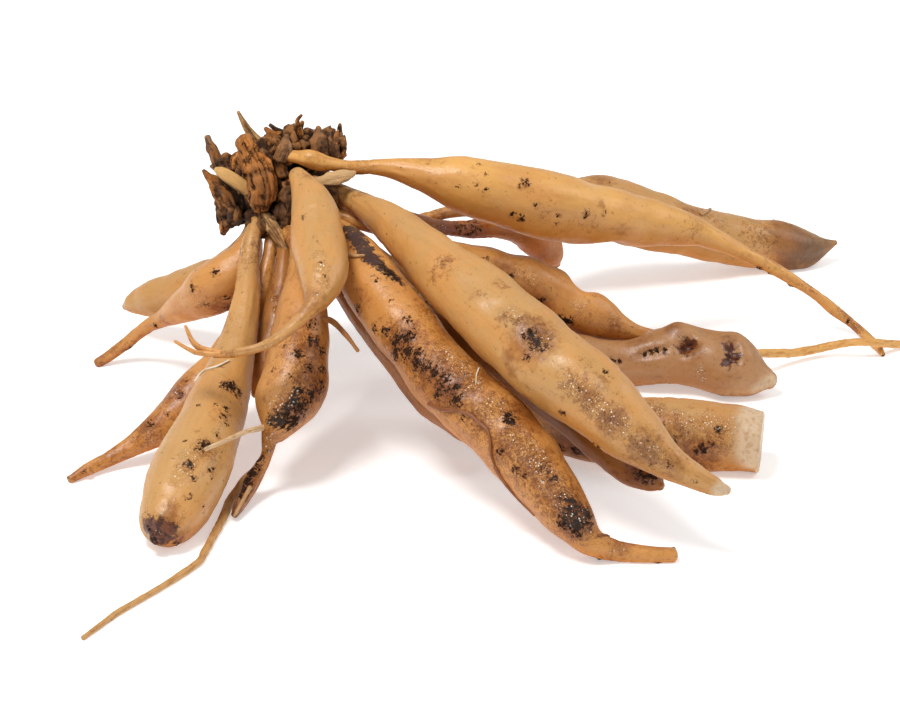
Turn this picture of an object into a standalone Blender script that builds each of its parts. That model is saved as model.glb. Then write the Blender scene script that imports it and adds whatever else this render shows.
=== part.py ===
"""Shatavari root: a woody crown with seventeen fleshy storage roots, lying on a surface.

Lengths are in millimetres and are turned into metres where a mesh is made. Places are measured
from the point of the surface right under the crown, +X to the right, +Y to the back, +Z up.
A root is a list of stations along its middle, (x, y, z, radius), from the neck in the crown to
the tip. The model's origin is at the middle of its footprint, so CROWN_AT moves everything.
"""

import math
import random

import bmesh
import bpy
import numpy as np
from mathutils import Vector, noise

MM = 0.001
CROWN_AT = (-57.45, 27.9, 0.0)

ROOT_SIDES = 10
ROOTLET_SIDES = 6
RING_STEP = 5.6
ROOTLET_STEP = 6.0
TAPER_RINGS = 2.0
SPAN_SAMPLES = 12
GAP = 0.35
LUMP_SIZE = 11.0
SEED_STRIDE = 7.3
TIP_REACH = 0.7
TIP_LIFT = 0.3

CROWN_FACES = 3
CROWN_ROUGH = 1.3
CROWN_ROUGH_SIZE = 5.0
SCALE_SIDES = 7
SCALE_STEP = 3.6
SCALE_THINNEST = 0.45
SOCKET_REACH = 30.0

TAN = (0.62, 0.40, 0.18)
DEEP_TAN = (0.50, 0.29, 0.11)
ORANGE_BROWN = (0.42, 0.20, 0.06)
OLIVE_BROWN = (0.36, 0.22, 0.09)
BARK = (0.13, 0.065, 0.03)
ROOT_ROUGHNESS = 0.4
BARK_ROUGHNESS = 0.6
SHARP_ANGLE = 40.0

# Each root: its stations, its colour, how lumpy it is, and bumps (x, y, z, reach, height) on its
# surface, where a negative height is a hollow. Rootlets are thin roots fused to it.
ROOTS = {
    "root_main": dict(
        colour=TAN, lumps=0.05, seed=1,
        path=[(12, 2, 48, 1.8), (19.5, -5, 47, 2.4), (26.5, -14, 46, 4.1), (34.5, -25.5, 43.5, 5.7),
              (43.5, -40.5, 41.5, 7.4), (53.5, -54.5, 38, 8.6), (63, -66.5, 34, 9), (72.5, -75.5, 30, 8.6),
              (80.5, -83.5, 25.5, 6.6), (86.5, -88, 22, 4.4), (93, -91, 19, 2.8), (98, -92.5, 17, 1.8),
              (100.5, -92, 16, 1)]),
    "root_upper": dict(
        colour=TAN, lumps=0.05, seed=2, bumps=[(80.5, 8, 29, 3.5, -1.8), (66, -3, 47, 7, 0.4)],
        path=[(5, -3.5, 57, 1.3), (7.5, -4.5, 57, 1.6), (10, -5.5, 57, 2.2), (12.5, -5.5, 56.2, 2),
              (15, -5, 55.5, 1.5), (19.5, -3, 54, 1.5), (27.5, -2, 53.5, 2.1), (35.5, -2.5, 52, 3.9),
              (44, -2.5, 50, 6.1), (50, -2, 48.2, 7.2), (57, 0, 45.5, 7.6), (65, 3, 42, 7.8),
              (74.5, 8, 38, 7.4), (80.5, 10.5, 36, 7), (88.5, 15, 33, 5.8), (101, 20.5, 28.5, 3.8),
              (107.5, 22, 25.2, 2.6), (116, 22, 21, 1.7), (123.5, 23, 16.5, 1.5), (132.5, 22.5, 10.7, 1.3),
              (138, 22.3, 6.2, 1.45), (142.5, 21, 3, 1.15), (144.5, 19, 1.8, 1.15),
              (146, 16.5, 1.15, 1.15), (147.6, 11.5, 1.05, 1.05), (148.3, 8, 0.8, 0.6)]),
    "root_back": dict(
        colour=DEEP_TAN, lumps=0.06, seed=3, bumps=[(95, 50, 26, 7, 0.5)],
        path=[(12, 4, 42, 1.5), (17.5, 6, 40, 1.7), (26, 8, 37.7, 1.7), (33, 9, 35.5, 1.6),
              (37, 11, 35.5, 1.5), (42, 15, 35.3, 1.6), (50, 23, 33.2, 2.2), (60, 36, 28.3, 4),
              (70, 44, 24.5, 6.3), (78, 48, 23.2, 7.9), (86, 51, 21, 7.7), (101.5, 55, 14.8, 6.9),
              (118, 62, 8.2, 6.5), (129, 64.5, 5.9, 6.2), (135, 65.5, 5, 5.3), (138.5, 66, 4.9, 3.9),
              (141.5, 66.5, 5.2, 1.9), (144, 67, 5.8, 0.6)]),
    "root_hanging": dict(
        colour=TAN, lumps=0.04, seed=4,
        path=[(6.5, -1, 51.5, 1.4), (7, -8, 53.5, 1.5), (7.2, -12.5, 56, 2.7), (8.6, -16, 54.8, 3.9),
              (10.4, -19.5, 52.6, 4.8), (11.7, -23.5, 49.8, 5.6), (13, -31, 46.5, 6.1),
              (14.3, -42, 44, 5.6), (13.6, -50.3, 42, 3.3), (11.6, -55.3, 40.5, 1.7),
              (7.6, -59.5, 38, 1.3), (2.8, -62.9, 36, 1), (-3.8, -62.7, 34, 0.9), (-8.5, -60.8, 32.8, 0.8)],
        rootlets=[[(-6, -61.8, 33.4, 0.7), (-11.3, -59.5, 33.5, 0.7), (-13.5, -58.4, 34.8, 0.6),
                    (-15.1, -56.3, 37.5, 0.35)],
                  [(-6, -61.9, 33.3, 0.7), (-11.8, -60.6, 33, 0.6), (-14.2, -60, 33.6, 0.5),
                    (-17.3, -58.8, 35, 0.35)]]),
    "root_stub": dict(
        colour=ORANGE_BROWN, lumps=0.05, seed=5,
        path=[(14, 2, 46, 1.6), (26, 1, 42, 1.7), (34, 2, 38.5, 1.8), (40, 7, 34.8, 1.9),
              (47, 14, 31.4, 2.1), (53.5, 19, 30.2, 2.9), (58.5, 24, 28.2, 4.2), (62.7, 28, 24.7, 4.9),
              (66, 31, 20, 4.4), (68.2, 32.5, 16.2, 3), (69.3, 33, 14, 1)]),
    "root_front": dict(
        colour=TAN, lumps=0.05, seed=6, bumps=[(52, -70, 25, 6, 0.5), (44, -64, 26, 4, -0.6)],
        path=[(11.5, -9.5, 44, 1.9), (17.5, -15, 43.2, 2.3), (20, -20, 41.8, 3.7), (22.5, -25, 39.3, 5.6),
              (26, -32.5, 35.5, 6.9), (33.5, -44.5, 30, 7.4), (42.5, -59, 24.5, 7.4), (54, -72, 19, 7.4),
              (62, -81, 13, 6.8), (68, -89.5, 8.3, 5), (72, -93, 4.6, 3.2), (77, -93, 2.3, 2.4),
              (83, -93.5, 1.6, 1.9), (89.5, -93.5, 1.3, 1.6)]),
    "root_wavy": dict(
        colour=DEEP_TAN, lumps=0.08, seed=7,
        bumps=[(52, -2, 34, 4, 0.6), (62, 2, 30, 4, 0.9), (69, 1.5, 25, 3, 0.9),
               (73.5, 1, 21.5, 2.4, -2.6), (79, 0.5, 18, 4, 0.8)],
        path=[(13, -3, 43.5, 1.6), (21, -6.5, 41.5, 1.6), (31, -6.5, 38.5, 1.9), (41, -6, 34.5, 2.6),
              (50.5, -5, 30, 3.7), (60.5, -1.5, 25, 4.9), (69, -0.5, 19, 5.8), (78.5, -1.5, 14, 4.6),
              (86, -1.5, 11, 2.4), (92.5, 0.3, 9.6, 1)]),
    "root_split": dict(
        colour=DEEP_TAN, lumps=0.10, seed=8,
        bumps=[(95, -14, 4, 4, 0.6), (107, -17, 4, 5, 1.2), (104, -9, 15, 2.6, -1.6), (97, -7, 15, 3.5, 1),
               (110, -9, 13, 3, 0.9), (116, -16, 7, 3, -0.8)],
        path=[(11, -6, 39, 1.6), (20, -8.5, 36.5, 1.7), (29, -10, 31, 1.9), (39, -9.5, 25, 2.4),
              (52, -9, 17, 3.4), (66, -9.5, 10.5, 4.6), (80.5, -8.5, 6, 5.4), (88, -8, 6.2, 5.6),
              (94, -7.4, 7.6, 6.4), (101, -8, 8, 7.2), (109, -11, 6.8, 6.9), (114, -12.5, 5.2, 5.2),
              (118.5, -13.5, 4, 2.2)],
        rootlets=[[(110, -6, 7, 1.1), (117.5, -1.5, 5.5, 1.1), (125.5, 4, 3, 1.1), (133, 8, 2.4, 1.1),
                    (138, 8, 3.6, 1), (143, 7.5, 4.3, 1), (146.5, 8, 3.9, 1), (150.5, 11, 2.2, 1.05),
                    (154.5, 13.3, 1.1, 1), (158, 14.5, 1, 0.9)]]),
    "root_cut": dict(
        colour=TAN, lumps=0.04, seed=9, flat_end=True,
        path=[(14, -6.5, 42, 1.6), (20, -12, 40, 1.7), (26, -15, 36, 2.3), (32, -18.5, 31, 3.4),
              (41, -25, 23, 5.2), (52, -32, 14.5, 6.8), (63, -39, 8.6, 7.6), (74, -45, 7.2, 7.7),
              (86, -47.5, 7.3, 7.9), (98.5, -49, 7.2, 7.8), (112, -51.5, 6.8, 7.2)]),
    "root_blunt": dict(
        colour=OLIVE_BROWN, lumps=0.05, seed=10,
        path=[(12, -12, 40, 1.6), (19.5, -17, 37, 1.7), (28.5, -23, 32.5, 2), (40.5, -35.5, 28.5, 2.7),
              (53.5, -49, 25.5, 3.6), (66.5, -61.5, 20.5, 4.4), (75, -70, 17, 4.9), (81.5, -76, 14, 4.6),
              (86, -80, 12, 2.6), (87.5, -81.5, 11.4, 1)]),
    "root_under": dict(
        colour=OLIVE_BROWN, lumps=0.05, seed=11,
        path=[(9, -12, 37, 1.6), (15.5, -18, 32, 2.1), (24.5, -28, 25.5, 3.6), (33, -37, 19.5, 5),
              (41, -44.5, 14, 5.8), (48, -48.5, 9.5, 4.6), (53, -51, 6, 2.2)]),
    "root_big_left": dict(
        colour=TAN, lumps=0.04, seed=12,
        path=[(-2, -6, 43, 1.7), (-3.5, -12, 40, 1.9), (-4, -18.5, 35.5, 2.4), (-4, -26, 31, 3.1),
              (-5.5, -37, 24.5, 4.2), (-9, -50.5, 16.5, 6.7), (-13.8, -71.5, 9.5, 8.5),
              (-16.6, -82.5, 6.4, 7.4), (-18.4, -89, 5, 5), (-19.3, -91.5, 4.4, 2)]),
    "root_muddy": dict(
        colour=OLIVE_BROWN, lumps=0.06, seed=13, bumps=[(14, -52, 22, 5, 0.8)],
        path=[(5, -12, 41.5, 1.7), (8, -20, 40, 2.4), (9.5, -31.5, 35, 4.6), (9, -42, 28.5, 6.6),
              (7.4, -51, 22.5, 7.3), (6, -57, 18.5, 6.6), (4.4, -61, 15, 3.7), (3, -62, 12.7, 2),
              (2.4, -63, 10, 1.35), (1.3, -64, 7.6, 1.5), (-0.5, -66, 5.3, 1.85), (-2, -69, 3.2, 1.6),
              (-3.5, -73, 2, 1.3), (-4.2, -75.5, 1.3, 0.8)],
        rootlets=[[(0, -64.8, 6.4, 1), (-2.4, -64.5, 4.2, 1.1), (-4.1, -66, 2.2, 1.1),
                    (-5.7, -69.5, 1.2, 1.1), (-7, -78, 0.9, 0.95), (-9.4, -91, 0.8, 0.85),
                    (-10.4, -95.5, 0.8, 0.8), (-13.5, -100.5, 0.7, 0.8), (-18, -107, 0.7, 0.7),
                    (-25, -116, 0.6, 0.7), (-28, -121, 0.6, 0.6), (-31, -126, 0.5, 0.5)],
                  [(4, -59.5, 15, 0.8), (-1.5, -66.5, 17, 0.6), (-5.7, -74, 18.5, 0.5),
                    (-9.7, -78.3, 18.6, 0.4)],
                  [(11, -41.5, 31.5, 0.8), (15.5, -43, 33, 0.7), (19.2, -47.4, 31.6, 0.6),
                    (22.1, -48.7, 28, 0.4)]]),
    "root_tailed": dict(
        colour=DEEP_TAN, lumps=0.05, seed=14,
        path=[(-3.5, -5, 39, 1.8), (-5.5, -8.5, 33.5, 4.4), (-9.5, -10.5, 29.3, 6), (-14, -9.5, 25.2, 6.1),
              (-18, -7, 21.7, 4.8), (-22, -3.5, 18, 3.5), (-26, 0.5, 14, 2.2), (-30.5, 3, 10.5, 1.6),
              (-35, 4.5, 6.2, 1.5), (-39.5, 4, 2.8, 1.4), (-43, 3, 0.8, 1.2)]),
    "root_round": dict(
        colour=ORANGE_BROWN, lumps=0.05, seed=15,
        path=[(-3, 2, 40, 1.7), (-6.5, 4, 32, 2), (-13, 8, 22.3, 4.3), (-18.5, 12, 17.8, 5.1),
              (-23.5, 15, 14.2, 5.3), (-29, 18, 11.7, 5), (-33, 20, 9.7, 4), (-36, 21, 8.5, 2.7),
              (-38, 22, 7.3, 1)]),
    "root_low": dict(
        colour=ORANGE_BROWN, lumps=0.05, seed=16,
        path=[(1, -8, 39, 1.6), (0, -14, 33, 1.9), (-2.5, -21, 25.5, 2.9), (-8, -30, 18.5, 4.4),
              (-15.5, -38.5, 12.5, 5), (-22, -45, 8, 4.2), (-28.5, -48.5, 4.6, 2.5), (-34, -51.5, 2.6, 1.8),
              (-38.5, -55, 1.8, 1.5), (-42, -58, 0.8, 0.9)]),
    "root_inner": dict(
        colour=DEEP_TAN, lumps=0.05, seed=17,
        path=[(4, -11, 38.5, 1.6), (4, -18, 33.5, 2.3), (3, -25, 27, 3.3), (1.6, -31, 21, 3.6),
              (-0.3, -36.5, 16, 2.7), (-1.6, -40, 13, 1.1)]),
}

# Lumps of the woody crown: (x, y, z), then its half-sizes.
CROWN_LUMPS = [
    ((-1.5, 1.5, 48), (8.5, 8, 9.5)),
    ((2.5, 6.5, 50), (8.5, 6.5, 8.5)),
    ((9, -2.5, 45.5), (8.5, 7.5, 7.5)),
    ((1, -5, 41.5), (7, 6, 4.5)),
    ((12.2, 3, 58), (5.6, 5, 3)),
    ((15.6, 2, 57), (2.9, 3, 3)),
    ((6.5, 1.5, 58), (4, 4.2, 3.6)),
    ((3.3, 0, 57.2), (3.6, 4, 4.2)),
    ((-8.6, 0, 43.8), (4.2, 5.5, 6.2)),
]

# Old sheaths, buds and stubs: stations (x, y, z, half-width), how flat it is, and the side it faces.
CROWN_SCALES = [
    ([(-1.8, -6.5, 43.2, 0.8), (-1.6, -7.2, 45.4, 2.1), (-1.5, -7.6, 47.8, 3.2), (-1.3, -7.4, 51, 3.6),
      (-2, -6.6, 54.1, 3.4), (-3.2, -5.8, 56.8, 2.8), (-4.1, -5.2, 59, 2.5), (-5, -4.8, 61.2, 2.2)],
     0.7, (0, -1, 0)),
    ([(4.8, -2, 54.6, 1.9), (3.7, -2.2, 57.4, 2.1), (2.1, -1.6, 59.9, 1.7), (0.7, -1, 61.6, 1),
      (-0.4, -0.6, 62.6, 0.5)], 0.75, (0, -1, 0)),
    ([(5.2, 0, 58.8, 1.6), (3.6, 0.5, 60.7, 1), (1.9, 1, 61.8, 0.6), (0.6, 1, 62.9, 0.4)],
     0.7, (0, -1, 0)),
    ([(-9.4, 0, 48.5, 1.8), (-10.9, 0, 51.6, 1.6), (-12, 0, 54.1, 1.5), (-12.9, 0.3, 56.9, 1.3),
      (-13.7, 0.6, 58.9, 1), (-14.1, 0.8, 60, 0.7)], 0.5, (0, -1, 0)),
    ([(-6, 0.5, 49, 2.8), (-8.4, 0.5, 52.8, 2.4), (-10.2, 0.6, 55.2, 1.2)], 0.7, (0, -1, 0)),
    ([(-0.5, 1.5, 56.5, 1.3), (-2.6, 2, 58.4, 1.3), (-4.3, 2.4, 60.6, 1), (-5.9, 2.8, 63.2, 0.7),
      (-6.9, 3, 65.4, 0.35)], 0.6, (0, -1, 0)),
    ([(-2.2, 0, 59.3, 1), (0.2, -1.5, 57.6, 1.3), (2.5, -2.8, 55.3, 1.4), (3.6, -4, 52.5, 1.3)],
     0.7, (0, -1, 0)),
    ([(7.6, 1, 59.8, 1), (7.3, 1, 62.3, 0.7), (7, 1, 64, 0.5), (8, 1, 65.3, 0.35)], 0.9, (0, -1, 0)),
    ([(-4.4, -6.8, 49.6, 1.5), (-6.6, -7.8, 51.9, 1.65), (-9, -8.2, 53.8, 1.55), (-10.7, -8.2, 54.9, 1.2),
      (-11.5, -8.2, 55.4, 0.6)], 0.95, (0, -1, 0)),
    ([(-8.6, -2, 44.1, 3.2), (-10.4, -2.6, 46.8, 2.4), (-12.5, -2.6, 49.8, 1.5), (-14, -2.4, 51.6, 0.8),
      (-15, -2.2, 52.8, 0.4)], 0.6, (0.6, -1, 0)),
    ([(-7, -1.5, 39.5, 2.1), (-8.6, -3.2, 43.8, 2.2), (-9.8, -3.8, 47, 1.5), (-11.6, -3.6, 49.7, 0.7)],
     0.7, (0, -1, 0)),
    ([(-8.8, -1, 41.4, 1.9), (-10, -1.5, 39.6, 1.6), (-10.7, -1.8, 37.9, 1.2), (-11, -1.8, 36.8, 0.7)],
     0.85, (0, -1, 0)),
    ([(9.5, -5.5, 51.5, 1.2), (12.3, -8, 52.4, 1.2), (15.5, -8.2, 53.2, 1.6), (18.4, -7, 53.5, 1.5),
      (20.2, -5.8, 53.6, 0.7)], 0.35, (0, -1, 0.6)),
    ([(11.7, 1.5, 57.5, 1.3), (10.5, 1.5, 59.7, 1), (9.6, 1.6, 61.2, 0.5)], 0.8, (0, -1, 0)),
    ([(15.1, 2, 56.3, 1.3), (16.1, 2, 58.5, 1.1), (15.9, 2.4, 60.4, 0.7)], 0.8, (0, -1, 0)),
    ([(16.3, 0, 55.1, 1.3), (17.5, 0, 56.3, 0.9), (18.1, 0.5, 57.4, 0.5)], 0.8, (0, -1, 0)),
    ([(-1.5, -7.5, 44.5, 1), (0.5, -10, 42.8, 1.2), (2.8, -12.5, 40.4, 1.3), (4.5, -13.8, 38.4, 1),
      (6, -14, 37, 0.6)], 0.5, (0, -1, 0.5)),
    ([(-2.2, -7.5, 42.4, 0.9), (0.1, -9, 40.4, 1.1), (2.9, -10, 38.8, 1.1), (5.5, -11, 37.4, 0.7)],
     0.5, (0, -1, 0.5)),
    ([(3.6, -5.5, 45.9, 1.5), (3.4, -7.5, 44.3, 2.1), (3.1, -8, 42.3, 1.3)], 0.9, (0, -1, 0)),
]

# Sheaths round the back of the crown, which the view from the front doesn't reach.
BACK_SHEATHS = 7
BACK_TURN = (-10.0, 175.0)
BACK_SWAY = 0.12
BACK_MIDDLE = (3.0, 3.0, 49.0)
BACK_REACH = (6.5, 5.8)
BACK_RISE = (-5.0, 4.0)
BACK_LEAN = (0.5, 1.3)
BACK_LENGTH = (7.0, 12.0)
BACK_BULGE = 0.8
BACK_TIP_RISE = 1.2
BACK_WIDTH = 3.3
BACK_FLATNESS = 0.45
BACK_SEED = 5

PARTS = bpy.data.collections.new("Shatavari root")


def clear_scene():
    for old in list(bpy.data.objects):
        bpy.data.objects.remove(old, do_unlink=True)


def make_material(name, colour, roughness):
    material = bpy.data.materials.new(name)
    material.use_nodes = True
    shader = material.node_tree.nodes["Principled BSDF"]
    shader.inputs["Base Color"].default_value = (*colour, 1.0)
    shader.inputs["Roughness"].default_value = roughness
    return material


def to_metres(point):
    """A place measured from under the crown, as a place in the model in metres."""
    return (Vector(point) + Vector(CROWN_AT)) * MM


def unit(rows):
    return rows / np.linalg.norm(rows, axis=1, keepdims=True)


def smooth_path(stations, step):
    """The smooth curve through the stations, as rows (x, y, z, radius) about a step apart.

    Rings are closer together where the root tapers, so that a blunt end stays round.
    """
    knots = np.array(stations, dtype=float)
    knots = np.vstack([2 * knots[0] - knots[1], knots, 2 * knots[-1] - knots[-2]])
    dense = []
    for before, start, stop, after in zip(knots, knots[1:], knots[2:], knots[3:]):
        for t in np.linspace(0.0, 1.0, SPAN_SAMPLES, endpoint=False):
            bend = (2 * before - 5 * start + 4 * stop - after) * t ** 2
            swing = (3 * start - before - 3 * stop + after) * t ** 3
            dense.append(0.5 * (2 * start + (stop - before) * t + bend + swing))
    dense.append(knots[-2])
    dense = np.array(dense)
    moved = np.diff(dense, axis=0)
    spans = np.linalg.norm(moved[:, :3], axis=1)
    weight = spans + TAPER_RINGS * np.abs(moved[:, 3])
    reached = np.concatenate([[0.0], np.cumsum(weight)])
    rings = max(3, round(reached[-1] / step) + 1)
    places = np.linspace(0.0, reached[-1], rings)
    return np.column_stack([np.interp(places, reached, dense[:, k]) for k in range(4)])


def swell(point, spec):
    """How far the surface stands out or in at a point, as a part of the radius and in millimetres."""
    shift = Vector((spec.get("seed", 0) * SEED_STRIDE, 0.0, 0.0))
    rise = 2.0 * spec.get("lumps", 0.0) * noise.noise(Vector(point) / LUMP_SIZE + shift)
    bump = 0.0
    for x, y, z, reach, height in spec.get("bumps", []):
        away = (Vector(point) - Vector((x, y, z))).length
        bump += height * math.exp(-(away / reach) ** 2)
    return rise, bump


def root_rings(spec, sides, step, grow=0.0):
    """Rings of points round a root, with a flat side at the bottom, and its smooth path."""
    path = smooth_path(spec["path"], step)
    along = unit(np.gradient(path[:, :3], axis=0))
    side = unit(np.cross(along, (0.0, 0.0, 1.0)))
    over = np.cross(side, along)
    angles = (np.arange(sides) + 0.5) * 2 * math.pi / sides
    rings = []
    for centre, aside, up in zip(path, side, over):
        ring = []
        for angle in angles:
            out = math.cos(angle) * up + math.sin(angle) * aside
            rise, bump = swell(centre[:3] + centre[3] * out, spec)
            ring.append(centre[:3] + (centre[3] * (1.0 + rise) + bump + grow) * out)
        rings.append(np.array(ring))
    return rings, path


def stay_clear(rings, firm_paths):
    """Dents the rings wherever they come nearer than GAP to a root that was made before."""
    for path in firm_paths:
        starts = path[:-1, :3]
        runs = path[1:, :3] - starts
        for ring in rings:
            for k, point in enumerate(ring):
                t = np.clip(np.sum((point - starts) * runs, axis=1) / np.sum(runs * runs, axis=1), 0.0, 1.0)
                nearest = starts + runs * t[:, None]
                reach = path[:-1, 3] + (path[1:, 3] - path[:-1, 3]) * t
                depth = reach + GAP - np.linalg.norm(point - nearest, axis=1)
                worst = int(np.argmax(depth))
                if depth[worst] > 0.0:
                    away = point - nearest[worst]
                    ring[k] = nearest[worst] + away / np.linalg.norm(away) * (reach[worst] + GAP)


def loft(name, rings, flat_end=False, grounded=True):
    """One closed body through the rings, in metres, with a rounded or a flat far end."""
    bm = bmesh.new()
    if grounded:
        for ring in rings:
            ring[:, 2] = np.maximum(ring[:, 2], 0.0)
    loops = [[bm.verts.new(to_metres(point)) for point in ring] for ring in rings]
    for near, far in zip(loops, loops[1:]):
        for k in range(len(near)):
            j = (k + 1) % len(near)
            bm.faces.new((near[k], near[j], far[j], far[k]))
    bm.faces.new(loops[0][::-1])
    if flat_end:
        bm.faces.new(loops[-1])
    else:
        middle = rings[-1].mean(axis=0)
        reach = np.linalg.norm(rings[-1][0] - middle)
        ahead = middle - rings[-2].mean(axis=0)
        peak = middle + ahead / np.linalg.norm(ahead) * reach * TIP_REACH
        peak[2] = max(peak[2], reach * TIP_LIFT) if grounded else peak[2]
        tip = bm.verts.new(to_metres(peak))
        for k in range(len(loops[-1])):
            bm.faces.new((loops[-1][k], loops[-1][(k + 1) % len(loops[-1])], tip))
    bmesh.ops.recalc_face_normals(bm, faces=bm.faces)
    mesh = bpy.data.meshes.new(name)
    bm.to_mesh(mesh)
    bm.free()
    return add_object(name, mesh)


def add_object(name, mesh):
    piece = bpy.data.objects.new(name, mesh)
    PARTS.objects.link(piece)
    return piece


def combine(body, others, operation):
    """Joins the others to the body, or cuts them from it, and removes them."""
    tools = bpy.data.collections.new("tools")
    for other in others:
        PARTS.objects.unlink(other)
        tools.objects.link(other)
    bpy.context.scene.collection.children.link(tools)
    boolean = body.modifiers.new(operation.lower(), "BOOLEAN")
    boolean.operation = operation
    boolean.operand_type = "COLLECTION"
    boolean.collection = tools
    boolean.use_self = False
    bpy.context.view_layer.update()
    evaluated = body.evaluated_get(bpy.context.evaluated_depsgraph_get())
    mesh = bpy.data.meshes.new_from_object(evaluated)
    body.modifiers.clear()
    body.data = mesh
    for other in others:
        bpy.data.objects.remove(other, do_unlink=True)
    bpy.data.collections.remove(tools)


def keep_largest(body):
    """Drops any scrap that a cut has left loose."""
    bm = bmesh.new()
    bm.from_mesh(body.data)
    left = set(bm.verts)
    islands = []
    while left:
        island = {left.pop()}
        front = list(island)
        while front:
            near = {edge.other_vert(vert) for vert in front for edge in vert.link_edges}
            front = list(near - island)
            island |= near
        left -= island
        islands.append(island)
    largest = max(islands, key=len)
    bmesh.ops.delete(bm, geom=[vert for vert in bm.verts if vert not in largest], context="VERTS")
    bm.to_mesh(body.data)
    bm.free()


def finish(piece, colour, roughness):
    piece.data.materials.clear()
    piece.data.materials.append(make_material(piece.name, colour, roughness))
    piece.data.shade_smooth()
    piece.data.set_sharp_from_angle(angle=math.radians(SHARP_ANGLE))


def make_root(name, spec, firm_paths):
    rings, path = root_rings(spec, ROOT_SIDES, RING_STEP)
    stay_clear(rings, firm_paths)
    body = loft(name, rings, flat_end=spec.get("flat_end", False))
    rootlets = []
    for k, stations in enumerate(spec.get("rootlets", [])):
        thin, _ = root_rings({"path": stations}, ROOTLET_SIDES, ROOTLET_STEP)
        rootlets.append(loft(f"{name}_rootlet_{k}", thin))
    if rootlets:
        combine(body, rootlets, "UNION")
    finish(body, spec["colour"], ROOT_ROUGHNESS)
    return path


def make_scale(name, stations, flatness, facing):
    """A sheath or bud: a flattened, pointed loft whose thin side faces the given way."""
    path = smooth_path(stations, SCALE_STEP)
    along = unit(np.gradient(path[:, :3], axis=0))
    side = unit(np.cross(along, np.array(facing, dtype=float)))
    out = np.cross(side, along)
    angles = np.arange(SCALE_SIDES) * 2 * math.pi / SCALE_SIDES
    rings = []
    for centre, aside, front in zip(path, side, out):
        wide = centre[3] * aside
        thick = max(centre[3] * flatness, SCALE_THINNEST) * front
        rings.append(np.array([centre[:3] + math.cos(a) * wide + math.sin(a) * thick for a in angles]))
    return loft(name, rings, grounded=False)


def back_sheaths():
    """Stations of sheaths that fan out round the back, each a little unlike the next."""
    draw = random.Random(BACK_SEED)
    for k in range(BACK_SHEATHS):
        turn = math.radians(BACK_TURN[0] + (BACK_TURN[1] - BACK_TURN[0]) * k / (BACK_SHEATHS - 1))
        turn += draw.uniform(-BACK_SWAY, BACK_SWAY)
        out = Vector((math.cos(turn), math.sin(turn), 0.0))
        foot = Vector(BACK_MIDDLE) + Vector((out.x * BACK_REACH[0], out.y * BACK_REACH[1], 0.0))
        foot.z += draw.uniform(*BACK_RISE)
        lean = Vector((out.x, out.y, draw.uniform(*BACK_LEAN))).normalized()
        length = draw.uniform(*BACK_LENGTH)
        middle = foot + lean * length * 0.5 + out * BACK_BULGE
        tip = foot + lean * length + Vector((0.0, 0.0, BACK_TIP_RISE))
        stations = [(*foot, BACK_WIDTH), (*middle, BACK_WIDTH * 0.8), (*tip, BACK_WIDTH * 0.2)]
        yield stations, BACK_FLATNESS, tuple(out)


def make_lump(name, middle, halves, faces):
    bm = bmesh.new()
    bmesh.ops.create_icosphere(bm, subdivisions=faces, radius=1.0)
    for vert in bm.verts:
        out = vert.co.copy()
        point = Vector(middle) + Vector([a * b for a, b in zip(out, halves)])
        rough = CROWN_ROUGH * noise.noise(point / CROWN_ROUGH_SIZE)
        vert.co = to_metres(point + out * rough)
    mesh = bpy.data.meshes.new(name)
    bm.to_mesh(mesh)
    bm.free()
    return add_object(name, mesh)


def make_crown():
    """The woody crown with its sheaths, and a socket for the neck of each root."""
    lumps = [make_lump(f"lump_{k}", middle, halves, CROWN_FACES if k == 0 else CROWN_FACES - 1)
             for k, (middle, halves) in enumerate(CROWN_LUMPS)]
    body = lumps[0]
    body.name = "crown"
    scales = [make_scale(f"scale_{k}", *row) for k, row in enumerate(CROWN_SCALES + list(back_sheaths()))]
    combine(body, lumps[1:] + scales, "UNION")
    for name, spec in ROOTS.items():
        rings, path = root_rings(spec, ROOT_SIDES, RING_STEP, grow=GAP)
        near = [k for k, row in enumerate(path) if np.linalg.norm(row[:3] - CROWN_LUMPS[0][0]) < SOCKET_REACH]
        rings = rings[:near[-1] + 2]
        back = rings[0] - rings[1].mean(axis=0)
        rings[0] = rings[0] + back.mean(axis=0) / np.linalg.norm(back.mean(axis=0)) * GAP
        combine(body, [loft(f"{name}_socket", rings, flat_end=True, grounded=False)], "DIFFERENCE")
    keep_largest(body)
    finish(body, BARK, BARK_ROUGHNESS)


def build():
    clear_scene()
    bpy.context.scene.collection.children.link(PARTS)
    firm_paths = []
    for name, spec in ROOTS.items():
        firm_paths.append(make_root(name, spec, firm_paths))
    make_crown()


build()
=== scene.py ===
"""Studio view of a fresh shatavari root cluster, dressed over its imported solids.

Lengths are in millimetres and are turned into metres where a mesh is made. Places are measured
from the point of the floor right under the crown, +X to the right, +Y to the back, +Z up. A root
is a list of stations along its middle, (x, y, z, radius), from the neck in the crown to the tip.
"""

import math
import random

import bmesh
import bpy
import numpy as np
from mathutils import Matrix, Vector, kdtree, noise


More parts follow.
